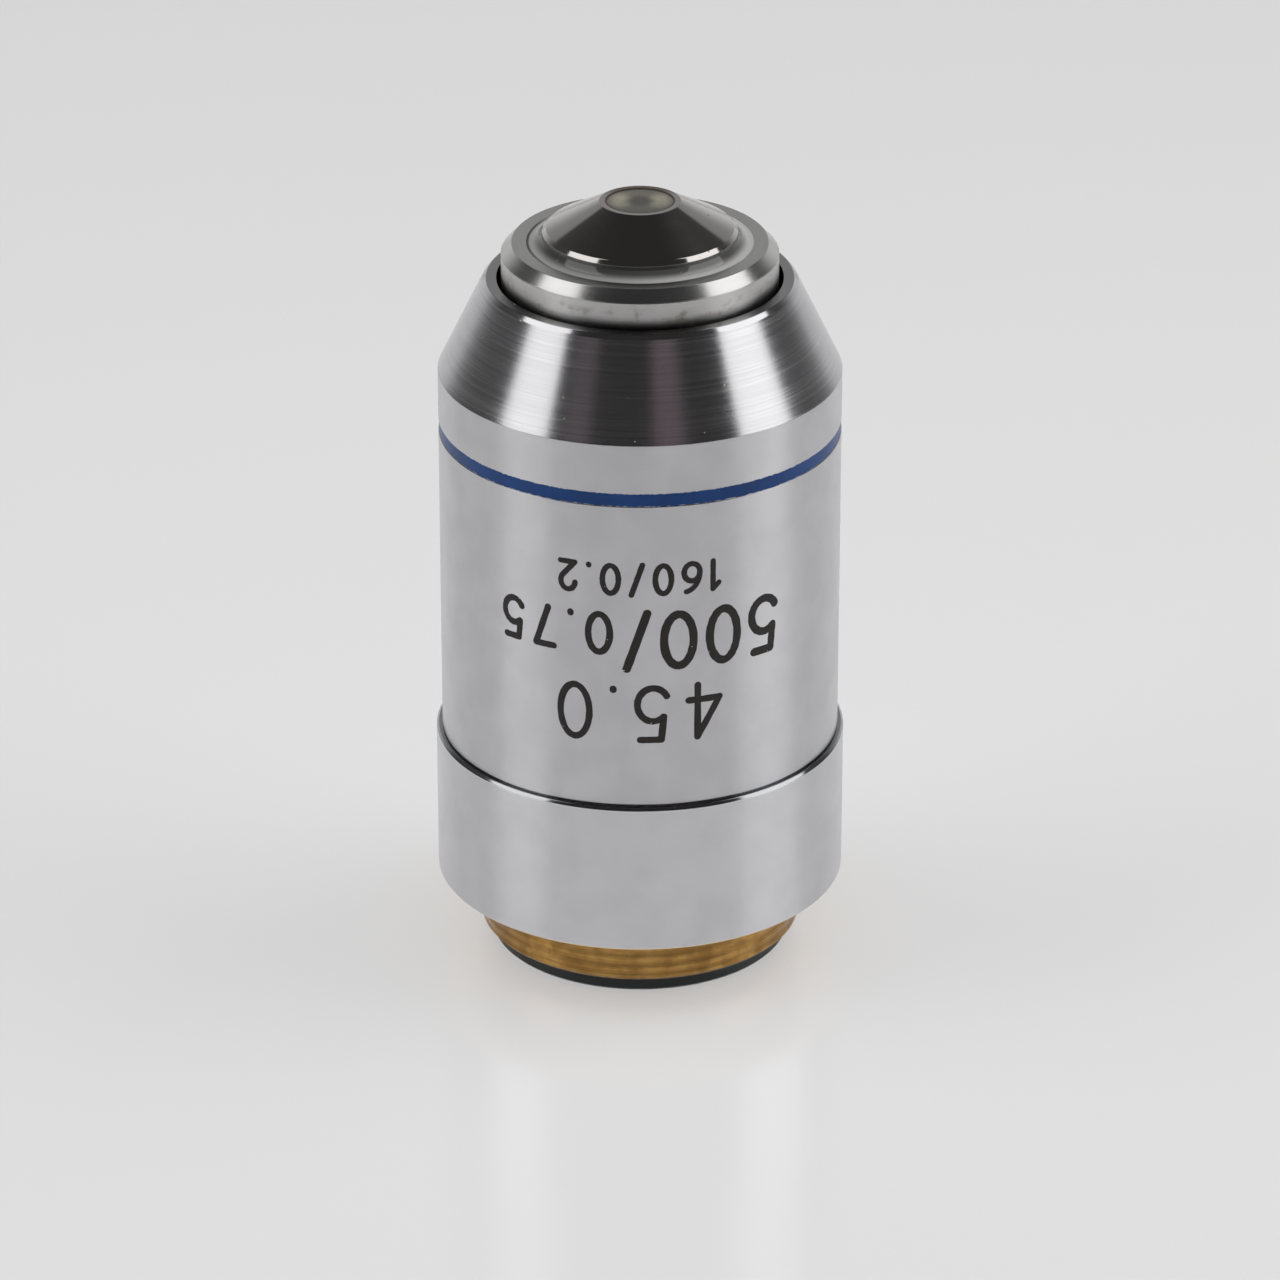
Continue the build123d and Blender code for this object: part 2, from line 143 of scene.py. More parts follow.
class OBJECTIVE_PG_sizes(PropertyGroup):
    """Sizes that the frame's boxes don't give."""

    edge: length("Edge rounding", 0.03, "How far an edge's rounding reaches along each side")
    fit: length("Fit", 0.02, "Clearance between two pieces that are fitted together")
    thread_radius: length("Thread radius", 10.135, "Outer radius of the mounting thread")
    thread_length: length("Thread length", 3.6, "From the rear ring's lip to the shoulder")
    thread_pitch: length("Thread pitch", 0.7056, "Rise of the thread in one turn")
    thread_depth: length("Thread depth", 0.04, "From the thread's crest to its root")
    thread_lead: length("Thread lead", 0.25, "Chamfer at the start of the thread")
    relief_width: length("Relief width", 0.45, "Width of the groove between thread and shoulder")
    relief_depth: length("Relief depth", 0.585, "Depth of the groove between thread and shoulder")
    collar_chamfer: length("Collar chamfer", 0.2, "Chamfer round the shoulder")
    collar_bevel: length("Collar bevel", 0.15, "Chamfer round the collar's upper edge")
    collar_groove: length("Collar groove", 0.12, "Height of the groove between collar and sleeve")
    groove_depth: length("Collar groove depth", 0.17, "How far the groove goes in under the sleeve")
    spigot_length: length("Spigot length", 5.8, "How far the body reaches up into the sleeve")
    spigot_depth: length("Spigot depth", 0.4, "Depth of the sleeve's thread below its bore")
    guide_step: length("Guide step", 0.9, "From the rear bore in to the guide's bore")
    guide_wall: length("Guide wall", 1.1, "Thickness of the guide tube")
    screw_radius: length("Screw radius", 1.0, "Radius of the guide screw's shank")
    screw_head: length("Screw head", 1.6, "Radius of the guide screw's head")
    screw_spot: length("Screw spot", 0.35, "Depth of the flat spot under the guide screw's head")
    spot_gap: length("Spot gap", 0.15, "Clearance round the guide screw's head")
    sleeve_wall: length("Sleeve wall", 1.3, "Thickness of the sleeve")
    cone_height: length("Cone height", 5.74, "Height of the sleeve's cone")
    cone_top: length("Cone top", 9.72, "Radius of the cone at its top")
    rim_chamfer: length("Rim chamfer", 0.26, "Chamfer round the sleeve's rim")
    rim_gap: length("Rim gap", 0.28, "Gap between the sleeve's rim and the cap")
    band_depth: length("Band depth", 0.2, "Depth of the groove for the colour band")
    ring_bore: length("Rear ring bore", 6.2, "Radius of the hole in the rear ring")
    ring_proud: length("Rear ring lip", 1.05, "Height of the rear ring's lip below the thread")
    ring_chamfer: length("Rear ring chamfer", 0.18, "Chamfer round the rear face")
    ring_mouth: length("Rear ring mouth", 0.7, "Chamfer at the mouth of the rear hole")
    slot_reach: length("Slot reach", 1.7, "How far the spanner slots go out from the hole")
    slot_width: length("Slot width", 1.5, "Width of the spanner slots")
    slot_depth: length("Slot depth", 0.8, "Depth of the spanner slots")
    cap_bevel_width: length("Cap bevel width", 0.66, "How far the cap's bevel goes in")
    cap_bevel_height: length("Cap bevel height", 0.7, "Height of the cap's bevel")
    nose_radius: length("Nose radius", 6.02, "Radius of the nose above the cap")
    nose_wall: length("Nose wall height", 0.66, "Height of the nose's upright wall")
    nose_bevel_width: length("Nose bevel width", 0.25, "How far the nose's base bevel goes in")
    nose_bevel_height: length("Nose bevel height", 0.25, "Height of the nose's base bevel")
    nose_flange: length("Nose flange", 0.8, "Thickness of the flange under the cap")
    tip_radius: length("Tip radius", 2.5, "Radius of the flat tip")
    tip_rim: length("Tip rim", 0.45, "Width of the metal round the front lens")
    boss_radius: length("Boss radius", 4.17, "Radius of the meniscus cell's boss")
    boss_gap: length("Boss gap", 0.2, "Gap above the meniscus cell's boss")
    stack_radius: length("Stack radius", 6.28, "Radius of the cells in the barrel")
    bead_climb: length("Bead climb", 0.45, "How far the cement climbs the nose")
    bead_dip: length("Bead dip", 0.16, "How far the cement's face is hollow")
    wire: length("Spring wire", 0.9, "Diameter of the spring's wire")
    turns: FloatProperty(name="Spring turns", description="Turns of the spring", default=5.5, min=1)


class OBJECTIVE_PG_marks(PropertyGroup):
    """Plain figures on the sleeve, read with the nose pointing down."""

    small_row: row_text("Small row", "160/0.2", "Figures next to the band")
    large_row: row_text("Large row", "500/", "Figures in the middle")
    large_end: row_text("Large row's end", "0.75", "Smaller figures that end the large row")
    third_row: row_text("Third row", "45.0", "Figures next to the collar")
    small_place: length("Small row place", 30.8, "Height of the small row's base line")
    large_place: length("Large row place", 27.5, "Height of the large row's base line")
    third_place: length("Third row place", 22.6, "Height of the third row's base line")
    small_height: length("Small figures", 1.85, "Height of the small row's figures")
    large_height: length("Large figures", 3.45, "Height of the large row's first figures")
    end_height: length("End figures", 2.53, "Height of the large row's last figures")
    third_height: length("Third figures", 3.5, "Height of the third row's figures")
    small_width: length("Small row width", 9.9, "Length of the small row round the sleeve")
    large_width: length("Large row width", 18.0, "Length of the large row round the sleeve")
    third_width: length("Third row width", 10.0, "Length of the third row round the sleeve")
    narrow: share("Narrowness", 0.86, "Width of the figures against a plain round face")
    small_pen: length("Small pen", 0.36, "Width of the small row's lines")
    large_pen: length("Large pen", 0.54, "Width of the large figures' lines")
    end_pen: length("End pen", 0.432, "Width of the large row's last figures' lines")
    third_pen: length("Third pen", 0.4428, "Width of the third row's lines")
    ink_rise: length("Ink rise", 0.01, "How far the paint stands out of its groove")


class OBJECTIVE_PG_finishes(PropertyGroup):
    """Colours and roughnesses of the surfaces."""

    plate: colour("Plate", (0.62, 0.62, 0.64), "Satin nickel plate on the sleeve")
    # Collar plate is the sleeve's satin plate made lighter: painted light on the collar.
    collar_plate: colour("Collar plate", (0.655, 0.655, 0.675), "Satin nickel plate on the collar")
    cone_plate: colour("Cone plate", (0.56, 0.555, 0.57), "Brighter turned plate on the cone")
    cap_plate: colour("Cap plate", (0.58, 0.575, 0.57), "Plate on the front cap")
    nose_plate: colour("Nose plate", (0.54, 0.515, 0.50), "Polished metal of the nose")
    steel: colour("Steel", (0.50, 0.50, 0.51), "Steel of the spring and the guide screw")
    brass: colour("Brass", (0.58, 0.345, 0.105), "Bare brass of the thread")
    brass_dark: colour("Tarnish", (0.25, 0.13, 0.04), "Tarnished brass in the thread's roots")
    # Cream is a painted highlight on the collar's lower chamfer, where the plate ends, and the
    # colour of dust specks on the cone.
    cream: colour("Cream", (0.85, 0.76, 0.58), "Worn edge of the collar, where the plate ends")
    rust: colour("Rust", (0.13, 0.075, 0.045), "Brown tarnish round the front lens")
    # Lens seat and lens middle are painted on the front lens's glass as a view through it.
    seat: colour("Lens seat", (0.25, 0.235, 0.17), "Pale seat seen at the sides of the front lens")
    glass: colour("Glass", (0.93, 0.95, 0.93), "Clear glass of the inner lenses")
    glass_dust: colour("Glass dust", (0.75, 0.78, 0.72), "Dust on the inner lenses")
    pupil: colour("Lens middle", (0.035, 0.033, 0.030), "Dark inside seen through the front lens")
    # Black also paints shade on the collar's upper bevel and groove and at the foot of the cap's
    # side, and the painted shadow on the cement.
    black: colour("Black", (0.012, 0.017, 0.018), "Black finish of the rear ring and the cells")
    enamel: colour("Enamel", (0.009, 0.052, 0.20), "Blue enamel of the band")
    ink: colour("Ink", (0.011, 0.008, 0.007), "Black paint in the figures")
    # The bead's cement is darker next to the nose and paler towards the cap; the darker cement also
    # coats the nose's upright wall.
    cement: colour("Cement", (0.27, 0.27, 0.262), "Cement round the nose, where it is thick")
    thin_cement: colour("Thin cement", (0.055, 0.055, 0.053), "Cement where it is thin")
    stain: colour("Stain", (0.29, 0.26, 0.18), "Yellow-brown stains on the cap")
    floor: colour("Floor", (0.712, 0.710, 0.712), "Pale glossy table")
    satin: share("Satin roughness", 0.30, "Roughness of the satin plate")
    turned: share("Turned roughness", 0.22, "Roughness of the turned cone")
    polish: share("Polish roughness", 0.09, "Roughness of the polished nose")


class OBJECTIVE_PG_studio(PropertyGroup):
    """Camera, lamps and surroundings."""

    lens: FloatProperty(
        name="Lens", description="Focal length in millimetres", default=180.79, unit="CAMERA"
    )
    distance: length("Distance", 405, "From the camera to the point that it looks at")
    elevation: angle("Elevation", 25.205, "How far the camera looks down")
    aim: length("Aim", 19.995, "Height of the point that it looks at")
    nearest: length("Nearest", 10, "Distance from which the camera sees things")
    floor_radius: length("Floor radius", 3000, "Radius of the table")
    floor_gap: length("Floor gap", 0.01, "How far the table lies below the rear ring")
    panel_distance: length("Panel distance", 600, "From the object to each side panel's middle")
    panel_length: length("Panel length", 822, "Length of each side panel")
    left_around: angle("Left panel place", 80.3, "How far round from the front it stands")
    left_up: angle("Left panel rise", 40, "How high over the table its middle is seen")
    left_lean: angle("Left panel lean", 34, "How far the left panel leans back towards its top")
    left_width: length("Left panel width", 305, "Width of the left panel")
    left_light: strength("Left panel light", 1.38, "Brightness of the left panel")
    right_around: angle("Right panel place", 88.5, "How far round from the front it stands")
    right_up: angle("Right panel rise", 37.9, "How high over the table its middle is seen")
    right_lean: angle("Right panel lean", 40, "How far the right panel leans back towards its top")
    right_width: length("Right panel width", 350, "Width of the right panel")
    right_light: strength("Right panel light", 1.5, "Brightness of the right panel")
    fill_height: length("Fill height", 900, "Height of the soft lamp overhead")
    fill_size: length("Fill size", 600, "Width of the soft lamp overhead")
    fill_light: strength("Fill light", 5.9, "Brightness of the soft lamp overhead")
    horizon: strength("Horizon", 0.22, "Brightness of the surroundings near the table")
    back: strength("Back", 0.33, "Brightness of the backdrop's upper part")
    back_foot: strength("Back's foot", 0.70, "Brightness of the backdrop just above the table")
    back_top: angle("Back top", 32, "How high the backdrop's upper edge is seen")
    sides: strength("Sides", 0.07, "Brightness of the surroundings at the sides")
    front: strength("Front", 0.035, "Brightness of the room overhead and behind the camera")
    shelf: strength("Shelf", 0.15, "Brightness of two strips of the room behind the camera")
    shelf_tint: colour("Shelf tint", (1.0, 0.78, 0.85), "Colour of those two strips")


# Meshes

def grid_shell(points, ends=None):
    """Vertices, quads and triangles of a grid of points whose columns go all the way round.

    Point (i, j) is joined to (i, j + 1) and (i + 1, j). Without ends, the last row is joined
    to the first. With ends, two points close the first row and the last row with triangles.
    """
    rows, columns = points.shape[:2]
    index = np.arange(rows * columns).reshape(rows, columns)
    vertices = points.reshape(-1, 3)
    triangles = np.empty((0, 3), int)
    if ends is None:
        index = np.vstack([index, index[:1]])
    else:
        vertices = np.vstack([vertices, ends])
        first, last = rows * columns, rows * columns + 1
        low, high = index[0], index[-1]
        start = np.stack([np.full(columns, first), np.roll(low, -1), low], axis=-1)
        end = np.stack([high, np.roll(high, -1), np.full(columns, last)], axis=-1)
        triangles = np.vstack([start, end])
    right = np.roll(index, -1, axis=1)
    quads = np.stack([index[:-1], right[:-1], right[1:], index[1:]], axis=-1)
    return vertices, quads.reshape(-1, 4), triangles


def put_mesh(name, *shells):
    """A new object whose mesh is made of one or more shells, shaded smooth up to sharp edges."""
    offsets = np.cumsum([0] + [len(vertices) for vertices, _, _ in shells])
    vertices = np.vstack([vertices for vertices, _, _ in shells])
    quads = np.vstack([quads + offset for (_, quads, _), offset in zip(shells, offsets)])
    triangles = np.vstack([tris + offset for (_, _, tris), offset in zip(shells, offsets)])
    corners = np.concatenate([quads.ravel(), triangles.ravel()]).astype(np.int32)
    starts = np.concatenate([
        np.arange(len(quads)) * 4,
        quads.size + np.arange(len(triangles)) * 3,
    ]).astype(np.int32)
    mesh = bpy.data.meshes.new(name)
    mesh.vertices.add(len(vertices))
    mesh.vertices.foreach_set("co", vertices.astype(np.float32).ravel())
    mesh.loops.add(len(corners))
    mesh.loops.foreach_set("vertex_index", corners)
    mesh.polygons.add(len(starts))
    mesh.polygons.foreach_set("loop_start", starts)
    mesh.update(calc_edges=True)
    if mesh.validate():
        raise RuntimeError(f"the mesh of {name} had faulty faces")
    piece = bpy.data.objects.new(name, mesh)
    bpy.context.scene.collection.objects.link(piece)
    shade(piece)
    return piece


def shade(piece):
    """Smooth shading that stops at sharp edges."""
    piece.data.shade_smooth()
    piece.data.set_sharp_from_angle(angle=SHARP_ANGLE)


def rounded(corners, cut):
    """A closed outline whose corners are small arcs.

    Corner P becomes (1 - u)^2 A + 2u(1 - u) P + u^2 B, for u from 0 to 1, where A and B lie
    the cut away from P on its two sides. One more point beyond A and beyond B keeps the long
    sides flat. The cut takes up less than a third of a short side.
    """
    largest_part, beyond = 0.3, 1.5
    corners = np.asarray(corners, float)
    before = np.roll(corners, 1, axis=0) - corners
    after = np.roll(corners, -1, axis=0) - corners
    before_size = np.linalg.norm(before, axis=1, keepdims=True)
    after_size = np.linalg.norm(after, axis=1, keepdims=True)
    cut = np.minimum(cut, largest_part * np.minimum(before_size, after_size))
    before = before / before_size * cut
    after = after / after_size * cut
    u = np.linspace(0, 1, ARC_POINTS)[:, None, None]
    arc = (1 - u) ** 2 * (corners + before) + 2 * u * (1 - u) * corners + u**2 * (corners + after)
    points = np.concatenate([[corners + beyond * before], arc, [corners + beyond * after]])
    return points.transpose(1, 0, 2).reshape(-1, 2)


def arc(centre, radius, start, end, count=24):
    """Points (centre radius + r cos a, centre height + r sin a) of an arc between two angles."""
    a = np.linspace(start, end, count)
    return np.stack([centre[0] + radius * np.cos(a), centre[1] + radius * np.sin(a)], axis=-1)


def turned(name, outline, closed=True, shape=None, columns=COLUMNS):
    """A turned piece: outline point i at angle a is (r cos a, r sin a, z).

    The outline goes round its piece anticlockwise, with the axis on its left. An open
    outline starts and ends on the axis. Shape, if given, changes the radius and height of
    each point by its angle.
    """
    around = np.arange(columns) * 2 * pi / columns
    rows = outline if closed else outline[1:-1]
    radius = np.repeat(rows[:, :1], columns, axis=1)
    height = np.repeat(rows[:, 1:], columns, axis=1)
    if shape:
        radius, height = shape(radius, height, around)
    points = np.stack([radius * np.cos(around), radius * np.sin(around), height], axis=-1)
    ends = None if closed else [(0, 0, outline[0][1]), (0, 0, outline[-1][1])]
    return put_mesh(name, grid_shell(points, ends))


def bar_along_x(name, radius, start, end, columns=96):
    """A round bar along X at a given height: end circles (x, r cos a, r sin a)."""
    around = np.arange(columns) * 2 * pi / columns
    circle = np.stack([0 * around, radius * np.cos(around), radius * np.sin(around)], axis=-1)
    rows = np.stack([circle + start, circle + end])
    return put_mesh(name, grid_shell(rows, [start, end]))


def beam(name, low, high):
    """A box between two corners, used only to cut with."""
    (left, front, bottom), (right, back, top) = low, high
    sides = [(front, bottom), (back, bottom), (back, top), (front, top)]
    near = np.array([(left, *side) for side in sides])
    far = near + (right - left, 0, 0)
    ends = [near.mean(axis=0), far.mean(axis=0)]
    return put_mesh(name, grid_shell(np.stack([near, far]), ends))


def carve(piece, *cutters):
    """Cuts the cutters out of a piece and removes them."""
    for cutter in cutters:
        cut = piece.modifiers.new(cutter.name, "BOOLEAN")
        cut.operation = "DIFFERENCE"
        cut.solver = "EXACT"
        cut.object = cutter
    evaluated = piece.evaluated_get(bpy.context.evaluated_depsgraph_get())
    mesh = bpy.data.meshes.new_from_object(evaluated)
    piece.modifiers.clear()
    piece.data = mesh
    for cutter in cutters:
        bpy.data.objects.remove(cutter)
    shade(piece)


def fit(piece, body, slot, finish, *nodes):
    """Puts a finished piece into the frame: its body, its material and its nodes. The slot is not
    used.
    """
    piece.data.materials.clear()
    piece.data.materials.append(finish)
    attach(piece, body)
    if nodes:
        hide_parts(*nodes)


# Shader maths

class Wire:
    """A number in a material. Python's operators on it add Math nodes."""

    def __init__(self, shader, socket):
        self.shader = shader
        self.socket = socket

    def maths(self, operation, first, second):
        return self.shader.node("Math", {"operation": operation}, {0: first, 1: second})

    def __add__(self, other):
        return self.maths("ADD", self, other)

    def __sub__(self, other):
        return self.maths("SUBTRACT", self, other)

    def __rsub__(self, other):
        return self.maths("SUBTRACT", other, self)

    def __mul__(self, other):
        return self.maths("MULTIPLY", self, other)

    def __truediv__(self, other):
        return self.maths("DIVIDE", self, other)

    def __pow__(self, other):
        return self.maths("POWER", self, other)

    __radd__ = __add__
    __rmul__ = __mul__


class Shader:
    """The node tree of one material or of the world."""

    def __init__(self, owner):
        owner.use_nodes = True
        self.owner = owner
        self.tree = owner.node_tree
        self.tree.nodes.clear()

    def node(self, kind, settings=None, values=None, output=0):
        """Adds a node, sets it up, fills its sockets with values or wires, and gives its output."""
        made = self.tree.nodes.new("ShaderNode" + kind)
        for key, value in (settings or {}).items():
            setattr(made, key, value)
        for key, value in (values or {}).items():
            if isinstance(value, Wire):
                self.tree.links.new(value.socket, made.inputs[key])
            else:
                made.inputs[key].default_value = value
        return Wire(self, made.outputs[output]) if made.outputs else None

    def split(self, vector):
        """The three parts of a vector."""
        parts = self.node("SeparateXYZ", None, {0: vector}).socket.node.outputs
        return [Wire(self, part) for part in parts]

    def join(self, x, y, z):
        return self.node("CombineXYZ", None, {0: x, 1: y, 2: z})

    def place(self):
        """The point on the object in millimetres: x, y, z and the distance from the axis."""
        vector = self.node("TexCoord", output="Object")
        scaled = self.node("VectorMath", {"operation": "SCALE"}, {0: vector, "Scale": 1 / MM})
        x, y, z = self.split(scaled)
        return x, y, z, (x * x + y * y) ** 0.5

    def noise(self, vector, scale=1.0, detail=2.0, rough=0.5):
        return self.node("TexNoise", None, {
            "Vector": vector, "Scale": scale, "Detail": detail, "Roughness": rough,
        })

    def step(self, value, low, high, start=0.0, end=1.0):
        """Smooth step: start up to low, end from high on."""
        return self.node("MapRange", {"interpolation_type": "SMOOTHSTEP"}, {
            0: value, 1: low, 2: high, 3: start, 4: end,
        })

    def above(self, value, limit, blend=BLEND):
        """0 up to a limit and 1 past it, with a smooth blend from the limit on."""
        return self.step(value, limit, limit + blend)

    def below(self, value, limit, blend=BLEND):
        """1 up to a limit and 0 past it, with a smooth blend from the limit on."""
        return self.step(value, limit, limit + blend, 1.0, 0.0)

    def window(self, value, outer_low, low, high, outer_high):
        """1 between low and high, and 0 outside the outer limits."""
        return self.step(value, outer_low, low) * self.step(value, high, outer_high, 1.0, 0.0)

    def mix(self, factor, first, second, blend="MIX"):
        """A colour between two colours, or another blend of them."""
        first, second = (
            c if isinstance(c, Wire) else (*c[:3], 1) for c in (first, second)
        )
        settings = {"data_type": "RGBA", "blend_type": blend}
        return self.node("Mix", settings, {0: factor, 6: first, 7: second}, output=2)

    def bump(self, height, distance, normal=None):
        """A bump whose full height is the distance, in metres."""
        values = {"Strength": 1.0, "Distance": distance, "Height": height}
        if normal:
            values["Normal"] = normal
        return self.node("Bump", None, values)

    def principled(self, **values):
        """The material's surface. Names are socket names with _ for spaces."""
        sockets = {key.replace("_", " "): value for key, value in values.items()}
        surface = self.node("BsdfPrincipled", None, sockets)
        self.node("OutputMaterial", None, {"Surface": surface})
        return self.owner


def turning_lines(shader, fineness, wander=0.5):
    """Lines left by turning: noise that changes fast along the piece and slowly round it."""
    x, y, z, radius = shader.place()
    vector = shader.join(x / radius * wander, y / radius * wander, (z + radius) * fineness)
    return shader.noise(vector, scale=1.0, detail=3.0, rough=0.6)


def blotches(shader, scale, low, high, detail=3.0):
    """Soft patches, from 0 to 1."""
    vector = shader.join(*shader.place()[:3])
    return shader.step(shader.noise(vector, scale, detail), low, high)


def plate_normal(shader, fine, coarse):
    """The normal of a turned surface: fine lines over a few coarser ones."""
    lines = turning_lines(shader, fineness=22.0)
    waves = turning_lines(shader, fineness=4.0)
    return shader.bump(lines, fine, normal=shader.bump(waves, coarse))


def tinted(tint, factor):
    """A colour made lighter or darker."""
    return tuple(min(1, factor * part) for part in tint)


def swing(pattern, size):
    """A pattern from 0 to 1 as a swing of this whole size to both sides of zero."""
    return (pattern - 0.5) * size


def lifted(pattern, least):
    """A pattern from 0 to 1, made to run from a least value to 1."""
    return least + (1 - least) * pattern


def clouded(shader, tint):
    """A plate's colour with wide faint clouds, and the clouds themselves."""
    clouds = blotches(shader, scale=0.45, low=0.3, high=0.7, detail=5.0)
    return shader.mix(clouds, tint, tinted(tint, 0.95)), clouds


def turned_metal(shader, stretch, **values):
    """A metal surface whose highlights are stretched along the axis by its turning lines."""
    return shader.principled(Anisotropic=stretch, Anisotropic_Rotation=ALONG_AXIS, **values)


# Materials. Their heights and radii are in millimetres.

def satin_plate(shader, look):
    """Satin plate on the sleeve's cylinder, brighter turned plate on its cone and rim, painted
    shade on the rim's flat top.
    """
    sizes = bpy.context.scene.objective_sizes
    _, _, z, _ = shader.place()
    rim = head("outer_sleeve") / MM
    chamfer_foot = rim - sizes.rim_chamfer / MM
    cone_foot = chamfer_foot - sizes.cone_height / MM
    on_cone = shader.above(z, cone_foot)
    on_chamfer = shader.above(z, chamfer_foot)
    on_rim = shader.above(z, rim - 3 * BLEND, 2 * BLEND)
    lines = turning_lines(shader, fineness=20.0, wander=0.8)
    waves = turning_lines(shader, fineness=4.0)
    cylinder, clouds = clouded(shader, look.plate)
    bright, dim = tinted(look.cone_plate, 1.16), tinted(look.cone_plate, 0.75)
    cone = shader.mix(shader.step(lines, 0.35, 0.75), look.cone_plate, bright)
    # Painted shade: the rim's flat top is darkened to three quarters of the cone's plate.
    cone = shader.mix(on_rim, cone, dim)
    dust = on_cone * blotches(shader, scale=3.5, low=0.79, high=0.81, detail=1.0)
    cone = shader.mix(dust, cone, look.cream)
    satin_rough = look.satin + swing(clouds, 0.03)
    turned_rough = look.turned + swing(lines, 0.14)
    rough = satin_rough + on_cone * (turned_rough - satin_rough)
    grain = lines * lifted(on_cone, 0.5)
    return turned_metal(
        shader,
        stretch=0.7,
        Base_Color=shader.mix(on_cone, cylinder, cone),
        Metallic=1.0 - dust * 0.8,
        Roughness=rough * (1 - on_chamfer * 0.4),
        Normal=shader.bump(grain, 0.0003 * MM, normal=shader.bump(waves, 0.0002 * MM)),
    )


def plated_body(shader, look):
    """Satin plate on the collar, bare brass on the thread, painted highlights on its lower chamfer
    and under its upper bevel, painted shade on that bevel and the groove.
    """
    sizes = bpy.context.scene.objective_sizes
    _, _, z, radius = shader.place()
    shoulder = (foot("mount_body") + sizes.thread_length) / MM
    chamfer_top = shoulder + sizes.collar_chamfer / MM
    bevel_foot = (foot("outer_sleeve") - sizes.collar_groove - sizes.collar_bevel) / MM
    past_thread = shader.above(z, shoulder - BLEND / 2)
    on_collar = shader.above(z, chamfer_top - 3 * BLEND, 3 * BLEND)
    on_bevel = shader.above(z, bevel_foot)
    # Painted highlight: pale cream, barely metallic, on the collar's lower chamfer between the
    # thread and the plate.
    painted_chamfer_highlight = past_thread * (1 - on_collar)
    painted_edge_highlight = shader.above(z, bevel_foot - 6 * BLEND, 3 * BLEND) * (1 - on_bevel)
    # The collar's plate is a lighter copy of the sleeve's: painted light.
    plate, clouds = clouded(shader, look.collar_plate)
    # Painted shade: the collar's upper bevel and the groove above it are darkened three tenths
    # towards black.
    plate = shader.mix(on_bevel * 0.3, plate, look.black)
    # Painted highlight: a lighter band along the collar just under its upper bevel.
    plate = shader.mix(painted_edge_highlight, plate, tinted(look.collar_plate, 1.1))
    lines = turning_lines(shader, fineness=12.0, wander=1.5)
    mottled = blotches(shader, scale=0.9, low=0.35, high=0.65, detail=5.0)
    dirt = blotches(shader, scale=2.2, low=0.66, high=0.74)
    crest = sizes.thread_radius / MM
    on_crest = shader.step(radius, crest - sizes.thread_depth / MM, crest)
    on_lines = shader.step(lines, 0.3, 0.7)
    shine = lifted(on_crest, 0.6) * lifted(on_lines, 0.4) * lifted(mottled, 0.25)
    brass = shader.mix(shine * (1 - dirt * 0.8), look.brass_dark, look.brass)
    # Painted highlight in cream on the collar's lower chamfer.
    brass = shader.mix(past_thread, brass, look.cream)
    satin_rough = (look.satin + swing(clouds, 0.03)) * (1 - on_bevel * 0.6)
    brass_rough = 0.25 - swing(lines, 0.2)
    plate_bumps = plate_normal(shader, 0.0003 * MM, 0.0006 * MM)
    return turned_metal(
        shader,
        stretch=0.6,
        Base_Color=shader.mix(on_collar, brass, plate),
        Metallic=1.0 - painted_chamfer_highlight * 0.7,
        Roughness=brass_rough + on_collar * (satin_rough - brass_rough),
        Normal=shader.bump(lines * (1 - past_thread), 0.012 * MM, normal=plate_bumps),
    )


def band_enamel(shader, look):
    """Blue enamel whose edges are a little ragged against the plate."""
    low, high = foot("colour_band") / MM, head("colour_band") / MM
    _, _, z, _ = shader.place()
    ragged = blotches(shader, scale=6.0, low=0.3, high=0.7, detail=2.0) * 0.07
    to_low = z - low
    to_edge = to_low.maths("MINIMUM", to_low, high - z)
    bare = shader.below(to_edge - ragged, -BLEND)
    depth = blotches(shader, scale=0.5, low=0.3, high=0.7)
    blue = shader.mix(depth, look.enamel, tinted(look.enamel, 1.3))
    return shader.principled(
        Base_Color=shader.mix(bare, blue, look.plate),
        Metallic=bare,
        Roughness=0.30 + ragged,
        IOR=1.3,
        Coat_Weight=0.05 * (1 - bare),
        Coat_Roughness=0.12,
    )


def black_metal(shader, look):
    """Glossy black finish with faint turning lines."""
    lines = turning_lines(shader, fineness=7.0, wander=2.0)
    worn = tinted(look.black, 3.0)
    return shader.principled(
        Base_Color=shader.mix(shader.step(lines, 0.55, 0.8), look.black, worn),
        Metallic=0.3,
        Roughness=0.26 + lines * 0.12,
        Normal=shader.bump(lines, 0.0006 * MM),
    )


def plain_metal(shader, metal, rough):
    """Turned metal of the inner pieces, with stains."""
    lines = turning_lines(shader, fineness=8.0, wander=2.0)
    patch = blotches(shader, scale=0.8, low=0.4, high=0.75)
    return turned_metal(
        shader,
        stretch=0.4,
        Base_Color=shader.mix(patch * 0.6, metal, tinted(metal, 0.7)),
        Metallic=1.0,
        Roughness=rough + swing(lines, 0.2),
        Normal=shader.bump(lines, 0.0006 * MM),
    )


def steel(shader, look):
    """Ground steel."""
    return plain_metal(shader, look.steel, rough=0.25)


def spring_steel(shader, look):
    """Drawn steel wire."""
    return plain_metal(shader, tinted(look.steel, 0.85), rough=0.32)


def bare_brass(shader, look):
    """Turned brass of the inner pieces."""
    return plain_metal(shader, look.brass, rough=0.3)


def black_brass(shader, look):
    """Brass with a dull black finish, worn to brown on its edges."""
    lines = turning_lines(shader, fineness=8.0, wander=2.0)
    return shader.principled(
        Base_Color=shader.mix(shader.step(lines, 0.66, 0.8), look.black, look.brass_dark),
        Metallic=0.2,
        Roughness=0.55 + swing(lines, 0.2),
        Normal=shader.bump(lines, 0.0008 * MM),
    )


